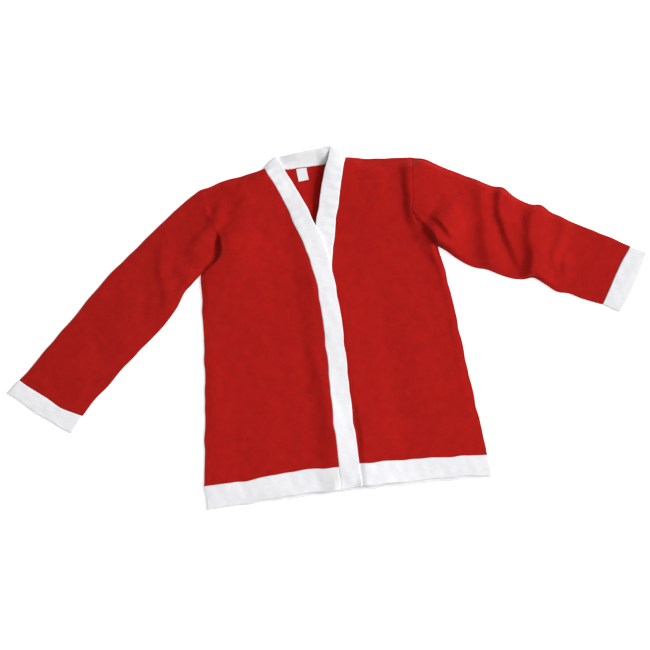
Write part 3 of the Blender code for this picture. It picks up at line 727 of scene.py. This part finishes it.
def mix_colour(tree, share, first, second):
    """A blend of two colours by a share."""
    node = tree.nodes.new("ShaderNodeMix")
    node.data_type = "RGBA"
    tree.links.new(share, node.inputs[0])
    for socket, value in ((node.inputs[MIX_FIRST], first), (node.inputs[MIX_SECOND], second)):
        if hasattr(value, "is_output"):
            tree.links.new(value, socket)
        else:
            socket.default_value = value
    return node.outputs[MIX_RESULT]


print("colour inputs of a Mix node:", MIX_FIRST, "and", MIX_SECOND)

# %% The felt group
HAIRS_PER_METRE, CLOUDS_PER_METRE = 900.0, 60.0  # scales of the two noises
FINER = 2.3  # how many times smaller the fine hairs are than the long ones
FINE_SHARE = 0.6  # how much they count beside them
LONG_THIN, FINE_THIN = 9.0, 6.0  # powers that leave thin lines of the ridges
CLOUD_GAIN = 2.4  # stretches the noise, which keeps near its middle, to about -1 to 1
# Painted shade: between the hairs the colour leans to the deeper one, for the shade in the web's hollows.
SHADE_BETWEEN_HAIRS = 0.55  # share of the deep colour between the hairs
HAIR_LIGHT = 0.45  # how much of it a hair takes away
ROUGHEST, HAIR_SHINE = 0.95, 0.08  # roughness between the hairs, and what a hair takes off it
CLOUD_HEIGHT = 0.5  # how much the clouds count in the relief beside the hairs


def felt_group():
    """Felt: hairs as ridged noise at two sizes, and clouds as broad noise. The deeper colour has a set
    share, less HAIR_LIGHT on a hair, and more or less of it by the clouds. Between the hairs it is
    painted shade for the hollows of the web; in the clouds it is a tone that varies at random."""
    group, start, end = new_group(
        "felt",
        [
            ("Colour", "NodeSocketColor", (0.5, 0.5, 0.5, 1)),
            ("Shade and cloud colour", "NodeSocketColor", (0.3, 0.3, 0.3, 1)),
            ("Hairs per metre", "NodeSocketFloat", HAIRS_PER_METRE),
            ("Clouds per metre", "NodeSocketFloat", CLOUDS_PER_METRE),
            ("Clouding", "NodeSocketFloat", 0.5),
        ],
        [("Colour", "NodeSocketColor"), ("Roughness", "NodeSocketFloat"), ("Height", "NodeSocketFloat")],
    )
    place = group.nodes.new("ShaderNodeTexCoord").outputs["Object"]
    hairs = start.outputs["Hairs per metre"]
    long_noise = noise_node(group, place, hairs, detail=3.0, distortion=2.5)
    fine_scale = math_node(group, "MULTIPLY", hairs, FINER)
    fine_noise = noise_node(group, place, fine_scale, detail=2.0, distortion=1.5)
    fine_hairs = ridges(group, fine_noise, FINE_THIN)
    web = math_node(group, "MULTIPLY_ADD", fine_hairs, FINE_SHARE, ridges(group, long_noise, LONG_THIN))

    per_metre = start.outputs["Clouds per metre"]
    clouds = noise_node(group, place, per_metre, detail=4.0, distortion=0.4, roughness=0.6)
    centred = math_node(group, "MULTIPLY_ADD", clouds, CLOUD_GAIN, -CLOUD_GAIN / 2)
    cloudy = math_node(group, "MULTIPLY", centred, start.outputs["Clouding"])
    # painted shade between the hairs: the deeper colour's share, less on a hair, then the clouds' random
    # tone
    deep = math_node(group, "MULTIPLY_ADD", web, -HAIR_LIGHT, SHADE_BETWEEN_HAIRS)
    share = math_node(group, "ADD", deep, cloudy)
    share = math_node(group, "MAXIMUM", math_node(group, "MINIMUM", share, 1.0), 0.0)
    colour = mix_colour(group, share, start.outputs["Colour"], start.outputs["Shade and cloud colour"])
    group.links.new(colour, end.inputs["Colour"])
    roughness = math_node(group, "MULTIPLY_ADD", web, -HAIR_SHINE, ROUGHEST)
    group.links.new(roughness, end.inputs["Roughness"])
    height = math_node(group, "MULTIPLY_ADD", clouds, CLOUD_HEIGHT, web)
    group.links.new(height, end.inputs["Height"])
    return group


FELT_GROUP = felt_group()
print("the felt group has", len(FELT_GROUP.nodes), "nodes")
print("the long hairs lie about", round(1000 / HAIRS_PER_METRE, 1), "mm apart")

# %% Red and white felt
HAIR_HEIGHT = 0.00012  # how far a hair stands out of the cloth, in metres


def principled(name):
    """A new material, with its node tree and its Principled shader."""
    made = bpy.data.materials.new(name)
    made.use_nodes = True
    return made, made.node_tree, made.node_tree.nodes["Principled BSDF"]


def felt(name, colour, shade_and_cloud_colour, clouding, sheen):
    """Felt of one dye."""
    made, tree, shader = principled(name)
    cloth = tree.nodes.new("ShaderNodeGroup")
    cloth.node_tree = FELT_GROUP
    cloth.inputs["Colour"].default_value = (*colour, 1)
    # the second colour: painted shade between the hairs, and the clouds' darker tone
    cloth.inputs["Shade and cloud colour"].default_value = (*shade_and_cloud_colour, 1)
    cloth.inputs["Clouding"].default_value = clouding
    bump = tree.nodes.new("ShaderNodeBump")
    bump.inputs["Distance"].default_value = HAIR_HEIGHT
    bump.inputs["Strength"].default_value = 0.8
    tree.links.new(cloth.outputs["Colour"], shader.inputs["Base Color"])
    tree.links.new(cloth.outputs["Roughness"], shader.inputs["Roughness"])
    tree.links.new(cloth.outputs["Height"], bump.inputs["Height"])
    tree.links.new(bump.outputs["Normal"], shader.inputs["Normal"])
    shader.inputs["Sheen Weight"].default_value = sheen
    shader.inputs["Sheen Roughness"].default_value = 0.5
    shader.inputs["Specular IOR Level"].default_value = 0.15
    return made


# Each felt's second colour is painted shade between its hairs and the darker tone of its clouds.
RED, RED_SHADE_AND_CLOUD = (0.435, 0.0062, 0.0038), (0.325, 0.0032, 0.0016)
# A darker copy of the red, for the right sleeve: painted shade, for the light that falls off towards the
# wearer's right.
SHADED_SLEEVE_RED, SHADED_SLEEVE_RED_SHADE_AND_CLOUD = (0.405, 0.0062, 0.0038), (0.303, 0.0032, 0.0016)
WHITE, WHITE_SHADE_AND_CLOUD = (0.885, 0.885, 0.910), (0.790, 0.790, 0.820)
red_felt = felt("red_felt", RED, RED_SHADE_AND_CLOUD, clouding=0.75, sheen=0.06)
red_felt_shaded_sleeve = felt("red_felt_shaded_sleeve", SHADED_SLEEVE_RED, SHADED_SLEEVE_RED_SHADE_AND_CLOUD, clouding=0.75, sheen=0.06)
white_felt = felt("white_felt", WHITE, WHITE_SHADE_AND_CLOUD, clouding=0.45, sheen=0.10)
print("felts:", red_felt.name, red_felt_shaded_sleeve.name, white_felt.name)

# %% [markdown]
# ## Back and fronts
#
# The back is one piece from hem to neck. It lies on the floor, so its underside is flat and its top
# follows it at the thickness of the felt. Each front runs from its side seam to the seam of the
# front band. On this jacket the wearer's right front closes over the left one.


# %% The back, on the floor
BACK_CELL = 3.4
SIDE_LENGTH, ARMHOLE_LENGTH = 475, 215
SHOULDER_LENGTH, NECK_LENGTH = 152, 190


def body_levels(cell):
    """Shares up the side seam and shares up the armhole, for the rows of the body's pieces."""
    low = places(SIDE_LENGTH, start=SEAM_ROUND, cell=cell)
    high = places(ARMHOLE_LENGTH, end=SEAM_ROUND, cell=cell)[1:]
    return low, high


def back_plan():
    """Plan of the back: rows run from the wearer's right to the left, and climb from hem to neck."""
    low, high = body_levels(BACK_CELL)
    right = np.concatenate([curve(SIDE_RIGHT, low), curve(ARMHOLE_RIGHT, high)])
    left = np.concatenate([curve(SIDE_LEFT, low), curve(ARMHOLE_LEFT, high)])
    shoulder = places(SHOULDER_LENGTH, start=SEAM_ROUND, cell=BACK_CELL)
    neck = curve(BACK_NECK, places(NECK_LENGTH, cell=BACK_CELL)[1:])
    top = np.concatenate([curve(SHOULDER_RIGHT, shoulder), neck, curve(SHOULDER_LEFT, shoulder[::-1])[1:]])
    across = knots_of(top) / knots_of(top)[-1]
    return patch(curve(HEM_SEAM_BACK, across), top, right, left, across)


def dress(piece, node):
    """Puts the piece in the place of the model's plain solid: it hangs it from the root body and hides the
    solid.
    """
    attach(piece, "root")
    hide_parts(node)
    return piece


plan = inset(back_plan(), SEAM_GAP / 2, "start end first last")
rims = dict(start=SEAM_ROUND, end=SEAM_ROUND, first=SEAM_ROUND, last=SEAM_ROUND)
half = round_rim(plan, FELT, **rims)
back = dress(shell("back", raised(plan, FELT / 2), half, red_felt), "back_panel")


# %% The two fronts
FRONT_WIDTH = 290


def front_plan(side, armhole, shoulder, band, hem_seam):
    """Plan of a front: rows run from its side to the band, and climb from the hem to the shoulder."""
    low, high = body_levels(FINE_CELL)
    outer = np.concatenate([curve(side, low), curve(armhole, high)])
    seam = points_of(band, "seam_x seam_y")
    knots = knots_of(seam)
    levels = np.concatenate([low * ARMPIT_LEVEL, ARMPIT_LEVEL + high * (1 - ARMPIT_LEVEL)])
    inner = smooth(knots, seam, knots[1] + levels * (knots[-1] - knots[1]))
    across = places(FRONT_WIDTH, start=SEAM_ROUND, end=SEAM_ROUND, cell=FINE_CELL)
    return patch(curve(hem_seam, across), curve(shoulder, across), outer, inner, across)


def front(name, outline, over):
    """The shell of a front."""
    plan = inset(front_plan(*outline), SEAM_GAP / 2, "start end first last")
    half = round_rim(plan, FELT, **rims)
    return shell(name, upper_sheet(plan, FELT, half, over), half, red_felt)


FRONT_RIGHT = (SIDE_RIGHT, ARMHOLE_RIGHT, SHOULDER_RIGHT, BAND_RIGHT, HEM_SEAM_RIGHT)
FRONT_LEFT = (SIDE_LEFT, ARMHOLE_LEFT, SHOULDER_LEFT, BAND_LEFT, HEM_SEAM_LEFT)
right_front = front("right_front", FRONT_RIGHT, over=True)
left_front = front("left_front", FRONT_LEFT, over=False)
dress(right_front, "front_right")
dress(left_front, "front_left")

# %% [markdown]
# ## Sleeves and cuffs
#
# A sleeve is a tube pressed flat. Its lower layer lies on the floor, its upper layer follows the
# folds, and at each pressed edge the cloth turns round in a half circle. The rows of the sleeve
# tables were chosen along the folds, so the grid's lines follow them too and a narrow fold stays
# clean. The cuff is a shorter tube of the same kind, in folded white felt.

# %% Tubes pressed flat
EDGE_ANGLES = np.radians(np.linspace(-90, 90, 11))  # places round a pressed edge
LEAST_SLANT = 0.4  # a section that runs nearly along the edge isn't widened more than this allows


def flat_tube(plan, thickness, half):
    """Middle points and half thickness of a tube pressed flat. A row of the plan is a section, from
    one pressed edge to the other. The ring runs over the floor, round one edge, back over the top
    and round the other edge."""
    x, y = plan[..., 0], plan[..., 1]
    low = lift(x, y, lower=thickness)
    upper = low + middle_height(thickness, half) * steepness(x, y, lower=thickness)
    upper = upper + (wave_height(x, y, TRIM_WAVES) if thickness == TRIM else 0)
    full = low + thickness * steepness(x, y, lower=thickness)
    inner_plan = plan[:, 1:-1]
    rings = [raised(inner_plan[:, ::2], thickness / 2)]
    walls = [half[:, 1:-1][:, ::2]]
    for end, beside, angles in ((-1, -4, EDGE_ANGLES), (0, 3, EDGE_ANGLES[::-1])):
        way = plan[:, beside] - plan[:, end]  # how a section runs in from its end, over three points
        way /= np.linalg.norm(way, axis=-1, keepdims=True)
        along = np.gradient(plan[:, end], axis=0)
        along /= np.linalg.norm(along, axis=-1, keepdims=True)
        slant = np.abs(way[:, 0] * along[:, 1] - way[:, 1] * along[:, 0])
        way /= np.maximum(slant, LEAST_SLANT)[:, None]  # as wide where a section meets the edge aslant
        radius = full[:, end] / 2
        turn = radius - thickness / 2
        for angle in angles:
            at = plan[:, end] + (radius - turn * np.cos(angle))[:, None] * way
            rings.append(raised(at, radius + turn * np.sin(angle))[:, None])
            walls.append(half[:, [end]])
        if end == -1:  # the upper layer comes between the two edges
            rings.append(raised(inner_plan, upper[:, 1:-1])[:, ::-1])
            walls.append(half[:, 1:-1][:, ::-1])
    return np.concatenate(rings, axis=1), np.concatenate(walls, axis=1)


def strip_plan(seam, edge, across, deep):
    """Plan of a trim between its seam and its edge, with points at those shares of the way."""
    start, end = curve(seam, across), curve(edge, across)
    share = deep[:, None, None]
    return (1 - share) * start[None] + share * end[None]


print("a pressed edge turns in", len(EDGE_ANGLES) - 1, "steps")

# %% Sleeves
TUBE_WIDTH, TURNED_WIDTH, TUBE_CELLS = 190, 6.5, 74
ARMHOLE_REACH, CUFF_REACH = 0.4, 0.3  # shares of the sleeve that bend to the armhole and to the cuff


def tube_places():
    """Shares across a flat tube. The first and last cells are wide enough to hold its turned edge."""
    inner = np.linspace(TURNED_WIDTH, TUBE_WIDTH - TURNED_WIDTH, TUBE_CELLS + 1)
    return np.concatenate([[0], inner, [TUBE_WIDTH]]) / TUBE_WIDTH


def sleeve_plan(sleeve, armhole, cuff_seam):
    """Plan of a sleeve: a row for each section, from its top edge to the seam under the arm. The first
    sections take the armhole's curve, and the last ones that of the cuff's seam."""
    rows = np.stack(list(sleeve.values()), axis=-1)
    knots = knots_of((rows[:, :2] + rows[:, 2:]) / 2)
    at = places(knots[-1], start=SEAM_ROUND, end=SEAM_ROUND, cell=FINE_CELL) * knots[-1]
    sections = smooth(knots, rows, at)
    across = tube_places()
    u = across[None, :, None]
    v = (at / at[-1])[:, None, None]
    ruled = (1 - u) * sections[:, None, :2] + u * sections[:, None, 2:]
    start_off = curve(armhole, across[::-1]) - ruled[0]
    end_off = curve(cuff_seam, across) - ruled[-1]
    to_cuff = step((v - (1 - CUFF_REACH)) / CUFF_REACH)
    return ruled + (1 - step(v / ARMHOLE_REACH)) * start_off + to_cuff * end_off


def sleeve_tube(name, sleeve, armhole, cuff_seam, finish):
    """The shell of a sleeve."""
    plan = inset(sleeve_plan(sleeve, armhole, cuff_seam), SEAM_GAP / 2, "start end")
    half = round_rim(plan, FELT, start=SEAM_ROUND, end=SEAM_ROUND)
    return shell(name, *flat_tube(plan, FELT, half), finish, ring=True)


# The right sleeve takes the darker copy of the red: painted shade.
right_sleeve = sleeve_tube("right_sleeve", SLEEVE_RIGHT, ARMHOLE_RIGHT, CUFF_SEAM_RIGHT, red_felt_shaded_sleeve)
left_sleeve = sleeve_tube("left_sleeve", SLEEVE_LEFT, ARMHOLE_LEFT, CUFF_SEAM_LEFT, red_felt)
dress(right_sleeve, "sleeve_right")
dress(left_sleeve, "sleeve_left")

# %% Cuffs
CUFF_DEPTH = 45
CUFF_CELL = 2.2


def cuff_tube(name, cuff_seam, cuff_edge):
    """The shell of a cuff, whose free edge is a fold."""
    deep = places(CUFF_DEPTH, start=SEAM_ROUND, end=FOLD_ROUND, cell=CUFF_CELL)
    plan = inset(strip_plan(cuff_seam, cuff_edge, tube_places(), deep), SEAM_GAP / 2, "start")
    half = round_rim(plan, TRIM, start=SEAM_ROUND, end=FOLD_ROUND)
    return shell(name, *flat_tube(plan, TRIM, half), white_felt, ring=True)


right_cuff = cuff_tube("right_cuff", CUFF_SEAM_RIGHT, CUFF_EDGE_RIGHT)
left_cuff = cuff_tube("left_cuff", CUFF_SEAM_LEFT, CUFF_EDGE_LEFT)
dress(right_cuff, "cuff_right")
dress(left_cuff, "cuff_left")

# %% [markdown]
# ## Hem bands
#
# The lower edge has a folded white strip all round: one along the back, and one along each front that
# ends at the front band. The back's strip shows a little below the fronts', because the folds draw the
# front's cloth up. Two of the folds lift the fronts' hems off the back's, so a thin dark gap shows.

# %% Hem bands of the back and the fronts
HEM_DEPTH = 52
HEM_CELL = 2.6
BACK_HEM_WIDTH, FRONT_HEM_WIDTH = 644, 300
deep = places(HEM_DEPTH, start=SEAM_ROUND, end=FOLD_ROUND, cell=HEM_CELL)
across = places(BACK_HEM_WIDTH, start=FOLD_ROUND, end=FOLD_ROUND)
plan = inset(strip_plan(HEM_SEAM_BACK, HEM_EDGE_BACK, across, deep), SEAM_GAP / 2, "start")
half = round_rim(plan, TRIM, start=SEAM_ROUND, end=FOLD_ROUND, first=FOLD_ROUND, last=FOLD_ROUND)
back_hem = dress(shell("back_hem", raised(plan, TRIM / 2), half, white_felt), "hem_band_back")


def front_hem(name, seam, edge, over):
    """The shell of a front's hem band, sewn to the front above it and to the front band beside it."""
    across = places(FRONT_HEM_WIDTH, start=FOLD_ROUND, end=SEAM_ROUND)
    plan = inset(strip_plan(seam, edge, across, deep), SEAM_GAP / 2, "start last")
    half = round_rim(plan, TRIM, start=SEAM_ROUND, end=FOLD_ROUND, first=FOLD_ROUND, last=SEAM_ROUND)
    return shell(name, upper_sheet(plan, TRIM, half, over), half, white_felt)


right_hem = front_hem("right_hem", HEM_SEAM_RIGHT, HEM_EDGE_RIGHT, over=True)
left_hem = front_hem("left_hem", HEM_SEAM_LEFT, HEM_EDGE_LEFT, over=False)
dress(right_hem, "hem_band_front_right")
dress(left_hem, "hem_band_front_left")

# %% [markdown]
# ## The front band
#
# One long strip makes both front edges and the neck's edge. It lies flat up the front. At each
# shoulder it turns over, and between the shoulders it stands up from the curve of the back neck,
# which is shorter than the strip. That is why its free edge rises into two soft peaks, and why its
# sewn edge puckers. The spare cloth of the neck bulges up before the left shoulder. The strip is worked
# out section by section, and the turn at each shoulder is a half circle that grows towards the free
# edge.

# %% Sections of the band
TURN_ANGLES = np.radians(np.linspace(75, -75, 9))  # places round the turn over a shoulder
BAND_WIDTH = 46
BAND_ACROSS = places(BAND_WIDTH, start=SEAM_ROUND, end=FOLD_ROUND, cell=2.3)
PUCKER_LENGTH, PUCKER_RISE = 21.0, 0.5  # from one pucker of the sewn edge to the next, and its height
SLOW_LENGTH, SLOW_SHARE = 2.7, 0.6  # a slower wave makes them uneven: its length and height beside theirs
PUCKER_START, PUCKER_CLIMB = 130, 90  # y where they begin, and the way up the chest to their full height


def stand(across):
    """How the band climbs from its sewn edge, where it is level, to its free edge: a cubic."""
    return across**2 * (2 - across)


def puckers(along, y):
    """Small waves where the band is sewn round a curve: a sine along it, dying out away from the seam
    and below the chest, where the seam is straight."""
    turns = 2 * np.pi * along
    waves = np.sin(turns / PUCKER_LENGTH) + SLOW_SHARE * np.sin(turns / (SLOW_LENGTH * PUCKER_LENGTH))
    return PUCKER_RISE * waves[:, None] * (1 - BAND_ACROSS) * step((y - PUCKER_START) / PUCKER_CLIMB)


def band_plan(rows):
    """Plan of a stretch of the band: straight rows from its sewn edge to its free edge."""
    return rows[:, None, 0:2] + BAND_ACROSS[None, :, None] * (rows[:, None, 2:4] - rows[:, None, 0:2])


def band_side(band, at, over):
    """Middle points of the band on one front, from the hem to the shoulder."""
    values = np.stack(list(band.values()), axis=-1)
    rows = smooth(knots_of(values[:, :2]), values, at)
    plan = band_plan(rows)
    x, y = plan[..., 0], plan[..., 1]
    base = lift(x, y, over=over) + TRIM / 2 + puckers(at, y) + wave_height(x, y, TRIM_WAVES)
    return raised(plan, base + rows[:, 4:5] * stand(BAND_ACROSS))


print("points across the band:", len(BAND_ACROSS))


# %% The band over the shoulders and round the neck
NECK_WAVE_LENGTH, NECK_WAVE_RISE = 47, 0.5  # waves of its free edge at the back of the neck
NECK_SWELL = 4.0  # how far the neck part bulges up just before the left shoulder
SWELL_START, SWELL_CLIMB = 25, 23  # x where the bulge begins, and the way to its full height


def shoulder_turn(front, neck):
    """The band's turn over a shoulder, from the last section on the front to the first at the back: half
    a circle between them, and wider towards the free edge."""
    middle = (front + neck) / 2
    radius = (front[:, 2] - neck[:, 2]) / 2
    ruling = front[-1, :2] - front[0, :2]
    out = np.array([-ruling[1], ruling[0]]) / np.linalg.norm(ruling)
    out = out if out[1] > 0 else -out
    angles = TURN_ANGLES[:, None]
    height = middle[:, 2] + radius * np.sin(angles)
    plan = middle[:, :2] + (front - neck)[:, :2] * np.sin(angles)[..., None] / 2
    return raised(plan + (radius * np.cos(angles))[..., None] * out, height)


def band_neck(right_end, left_end):
    """Middle points of the band round the back of the neck, between its ends on the two fronts."""
    neck = np.stack(list(BAND_NECK.values()), axis=-1)
    first, last = ([*front[0, :2], *front[-1, :2]] for front in (right_end, left_end))
    rows = np.concatenate([[[*first, neck[0, 4]]], neck, [[*last, neck[-1, 4]]]])
    knots = knots_of((rows[:, :2] + rows[:, 2:4]) / 2)
    at = places(knots[-1]) * knots[-1]
    rows = smooth(knots, rows, at)
    plan = band_plan(rows)
    x, y = plan[..., 0], plan[..., 1]
    waves = NECK_WAVE_RISE * np.sin(2 * np.pi * at / NECK_WAVE_LENGTH)[:, None] * BAND_ACROSS
    waves = waves + wave_height(x, y, TRIM_WAVES) * BAND_ACROSS
    bulge = BAND_ACROSS * (1 - BAND_ACROSS) * 4  # a parabola from edge to edge, 1 in the middle
    swell = NECK_SWELL * step((x - SWELL_START) / SWELL_CLIMB) * bulge
    return raised(plan, TRIM / 2 + rows[:, 4:5] * stand(BAND_ACROSS) + waves + swell)


def band_places(band):
    """Distances of the sections along a front's band, close together at the hem, where it has a rim."""
    knots = knots_of(points_of(band, "seam_x seam_y"))
    return places(knots[-1], start=FOLD_ROUND) * knots[-1]


right = band_side(BAND_RIGHT, band_places(BAND_RIGHT), over=True)
left = band_side(BAND_LEFT, band_places(BAND_LEFT), over=False)
neck = band_neck(right[-1], left[-1])
middle = np.concatenate(
    [right, shoulder_turn(right[-1], neck[0]), neck, shoulder_turn(left[-1], neck[-1])[::-1], left[::-1]]
)
half = round_rim(middle, TRIM, start=FOLD_ROUND, end=FOLD_ROUND, first=SEAM_ROUND, last=FOLD_ROUND)
front_band = dress(shell("front_band_felt", middle, half, white_felt), "front_band")

# %% [markdown]
# ## The neck label
#
# A small woven label is caught in the seam at the back of the neck. It is a stiff, smooth tape, so
# its lower corners lift a little off the felt. It is left blank.

# %% The woven label
LABEL_WIDTH, LABEL_LENGTH = 24, 25
LABEL_CORNERS = np.array([[(-18, 334), (5, 336)], [(-20, 363.5), (3, 363.5)]])  # lower and upper ones
LABEL_CURL = 0.9  # how far the lower corners lift
LABEL_MIDDLE = 0.4  # share of that lift that the lower edge has half-way between them
LABEL_GAP = 0.15  # between the label and the back
THREADS_PER_METRE = 2600
THREAD_HEIGHT = 0.00004  # in metres
THREAD, BETWEEN_THREADS = (0.76, 0.76, 0.78, 1), (0.86, 0.86, 0.87, 1)


def label_finish():
    """Woven tape: two sets of fine threads across each other, from sine waves on the piece's place."""
    made, tree, shader = principled("label_cloth")
    place = tree.nodes.new("ShaderNodeTexCoord").outputs["Object"]
    axes = tree.nodes.new("ShaderNodeSeparateXYZ")
    tree.links.new(place, axes.inputs[0])
    turns = [math_node(tree, "MULTIPLY", axes.outputs[n], 2 * np.pi * THREADS_PER_METRE) for n in (0, 1)]
    weave = math_node(tree, "MULTIPLY", *(math_node(tree, "SINE", turn) for turn in turns))
    bump = tree.nodes.new("ShaderNodeBump")
    bump.inputs["Distance"].default_value = THREAD_HEIGHT
    tree.links.new(weave, bump.inputs["Height"])
    tree.links.new(bump.outputs["Normal"], shader.inputs["Normal"])
    share = math_node(tree, "MULTIPLY_ADD", weave, 0.5, 0.5)
    colour = mix_colour(tree, share, BETWEEN_THREADS, THREAD)
    tree.links.new(colour, shader.inputs["Base Color"])
    shader.inputs["Roughness"].default_value = 0.55
    return made


label_cloth = label_finish()
u = places(LABEL_WIDTH, start=LABEL / 2, end=LABEL / 2, cell=1.0)[None, :, None]
v = places(LABEL_LENGTH, start=LABEL / 2, cell=1.0)[:, None, None]
low_edge, high_edge = LABEL_CORNERS
plan = (1 - v) * ((1 - u) * low_edge[0] + u * low_edge[1]) + v * ((1 - u) * high_edge[0] + u * high_edge[1])
corner = LABEL_MIDDLE + (1 - LABEL_MIDDLE) * (2 * u - 1) ** 2
curl = LABEL_CURL * ((1 - v) ** 3 * corner)[..., 0]
half = round_rim(plan, LABEL, start=LABEL / 2, end=LABEL / 2, first=LABEL / 2, last=LABEL / 2)
middle = raised(plan, FELT + LABEL_GAP + LABEL / 2 + curl)
label = dress(shell("label", middle, half, label_cloth), "neck_label")

# %% [markdown]
# ## What each sheet was cut to
#
# Every piece is a sheet of cloth, and the size of each one's cut is printed. A tube's cut is its whole
# way round, which is twice its flat width. The cut's area is worked out from the outline tables but
# goes no further, and the box that it fits in was read from the outlines.


def cut(piece, width, length, area):
    """Prints the flat cut of a laid piece, from millimetres. Its area, in square millimetres, is turned
    into square metres and goes no further.
    """
    flat = (width * METRES, length * METRES)
    area = min(area * METRES**2, flat[0] * flat[1])
    print(f"{piece.name}: cut {width} x {length} mm")


def outline_area(*curves):
    """Area inside closed outlines, by the shoelace formula on the tables' points."""
    x, y = np.concatenate([points_of(rows) if isinstance(rows, dict) else rows for rows in curves]).T
    return abs(np.dot(x, np.roll(y, -1)) - np.dot(y, np.roll(x, -1))) / 2


def turned_back(rows):
    """A table's points in the other order."""
    return points_of(rows)[::-1]


def sleeve_area(sleeve):
    """Area of one layer of a sleeve: down its top edge and back up the one under the arm."""
    return outline_area(points_of(sleeve, "top_x top_y"), points_of(sleeve, "under_x under_y")[::-1])


def front_area(side, armhole, shoulder, band, hem_seam):
    """Area of a front, inside its hem, side, armhole, shoulder and band seam."""
    band_seam = points_of(band, "seam_x seam_y")[:0:-1]
    return outline_area(turned_back(hem_seam), side, armhole, shoulder, band_seam)


back_area = outline_area(
    HEM_SEAM_BACK,
    SIDE_LEFT,
    ARMHOLE_LEFT,
    SHOULDER_LEFT,
    turned_back(BACK_NECK),
    *(turned_back(rows) for rows in (SHOULDER_RIGHT, ARMHOLE_RIGHT, SIDE_RIGHT)),
)
cut(back, 640, 701, back_area)
cut(right_front, 305, 701, front_area(*FRONT_RIGHT))
cut(left_front, 305, 701, front_area(*FRONT_LEFT))
cut(right_sleeve, 392, 590, 2 * sleeve_area(SLEEVE_RIGHT))
cut(left_sleeve, 422, 520, 2 * sleeve_area(SLEEVE_LEFT))
for piece, width, length, rests_on in (
    (right_cuff, 330, CUFF_DEPTH, ["floor"]),
    (left_cuff, 330, CUFF_DEPTH, ["floor"]),
    (back_hem, BACK_HEM_WIDTH, HEM_DEPTH, ["floor"]),
    (right_hem, 303, HEM_DEPTH, ["back_hem"]),
    (left_hem, 296, HEM_DEPTH, ["back_hem"]),
    (front_band, BAND_WIDTH, 1765, ["back", "left_front"]),
    (label, 24, 26, ["back"]),
):
    cut(piece, width, length, width * length)

# %% [markdown]
# ## Floor, light and camera
#
# The jacket lies on a plain white floor, seen from straight above and turned a little. One far, wide
# lamp stands low at the wearer's left, so every fold has a light side and a dark side. A soft disk
# overhead and an even sky fill the shade, and are kept weak so that the white trims stay just darker
# than the floor. The floor glows faintly by itself, so that it stays white beside the cloth, and the sky
# is white to look at but dim as a lamp, so no edge shows behind the floor in a low view.

# %% Floor
FLOOR_SIZE = 60.0  # in metres
FLOOR_DEPTH = 0.0004  # how far it lies below the cloth
FLOOR_COLOUR, FLOOR_GLOW = (0.98, 0.98, 0.98, 1), 0.5
floor_mesh = bpy.data.meshes.new("floor")
corners = np.array([(-1, -1, 0), (1, -1, 0), (1, 1, 0), (-1, 1, 0)]) * FLOOR_SIZE / 2
floor_mesh.from_pydata(corners.tolist(), [], [(0, 1, 2, 3)])
floor = bpy.data.objects.new("floor", floor_mesh)
bpy.context.scene.collection.objects.link(floor)
floor.location.z = -FLOOR_DEPTH
floor_paint, _, shader = principled("floor_paint")
shader.inputs["Base Color"].default_value = FLOOR_COLOUR
shader.inputs["Emission Color"].default_value = (1, 1, 1, 1)
shader.inputs["Emission Strength"].default_value = FLOOR_GLOW
shader.inputs["Roughness"].default_value = 0.9
shader.inputs["Specular IOR Level"].default_value = 0.0
floor_mesh.materials.append(floor_paint)
print("floor:", FLOOR_SIZE, "m wide")


# %% Light
def distant_lamp(name, heading, height, width, strength):
    """A far, wide lamp: the direction that it stands in over the plan, its height over the horizon
    and its width in the sky, all in degrees."""
    light = bpy.data.lights.new(name, "SUN")
    light.angle = np.radians(width)
    light.energy = strength
    lamp = bpy.data.objects.new(name, light)
    lamp.rotation_euler = (0, np.radians(90 - height), np.radians(heading))
    bpy.context.scene.collection.objects.link(lamp)
    return lamp


distant_lamp("key_lamp", heading=5, height=34, width=26, strength=3.68)

soft_box = bpy.data.lights.new("soft_box", "AREA")
soft_box.shape = "DISK"
soft_box.size = 1.1  # across, in metres
soft_box.energy = 6.4  # in watts
box_lamp = bpy.data.objects.new("soft_box", soft_box)
box_lamp.location = (0.25, -0.04, 1.6)
bpy.context.scene.collection.objects.link(box_lamp)

SKY_SEEN, SKY_LIGHT = 1.0, 0.17  # strength of the sky to look at, and as a lamp
sky = bpy.data.worlds.new("sky")
sky.use_nodes = True
background = sky.node_tree.nodes["Background"]
background.inputs["Color"].default_value = (1, 1, 1, 1)
seen = sky.node_tree.nodes.new("ShaderNodeLightPath").outputs["Is Camera Ray"]
strength = math_node(sky.node_tree, "MULTIPLY_ADD", seen, SKY_SEEN - SKY_LIGHT, SKY_LIGHT)
sky.node_tree.links.new(strength, background.inputs["Strength"])
bpy.context.scene.world = sky
bpy.context.scene.view_settings.view_transform = "Standard"
print("lamps:", ", ".join(light.name for light in bpy.data.lights))

# %% Camera
# It looks straight down from far above, so the jacket shows its flat cut with hardly any perspective.
VIEW_WIDTH = 1.4625  # how much of the floor the picture spans, in metres
CAMERA_HEIGHT = 3.6  # in metres
CAMERA_TURN = np.radians(-7)
CAMERA_REACH = 50  # how far it sees, in metres

camera = bpy.data.objects.new("camera", bpy.data.cameras.new("camera"))
camera.location = (0.0014, 0.0075, CAMERA_HEIGHT)
camera.rotation_euler = (0, 0, CAMERA_TURN)
camera.data.lens = camera.data.sensor_width * CAMERA_HEIGHT / VIEW_WIDTH
camera.data.clip_end = CAMERA_REACH
bpy.context.scene.collection.objects.link(camera)
bpy.context.scene.camera = camera
print("lens:", round(camera.data.lens, 1), "mm")
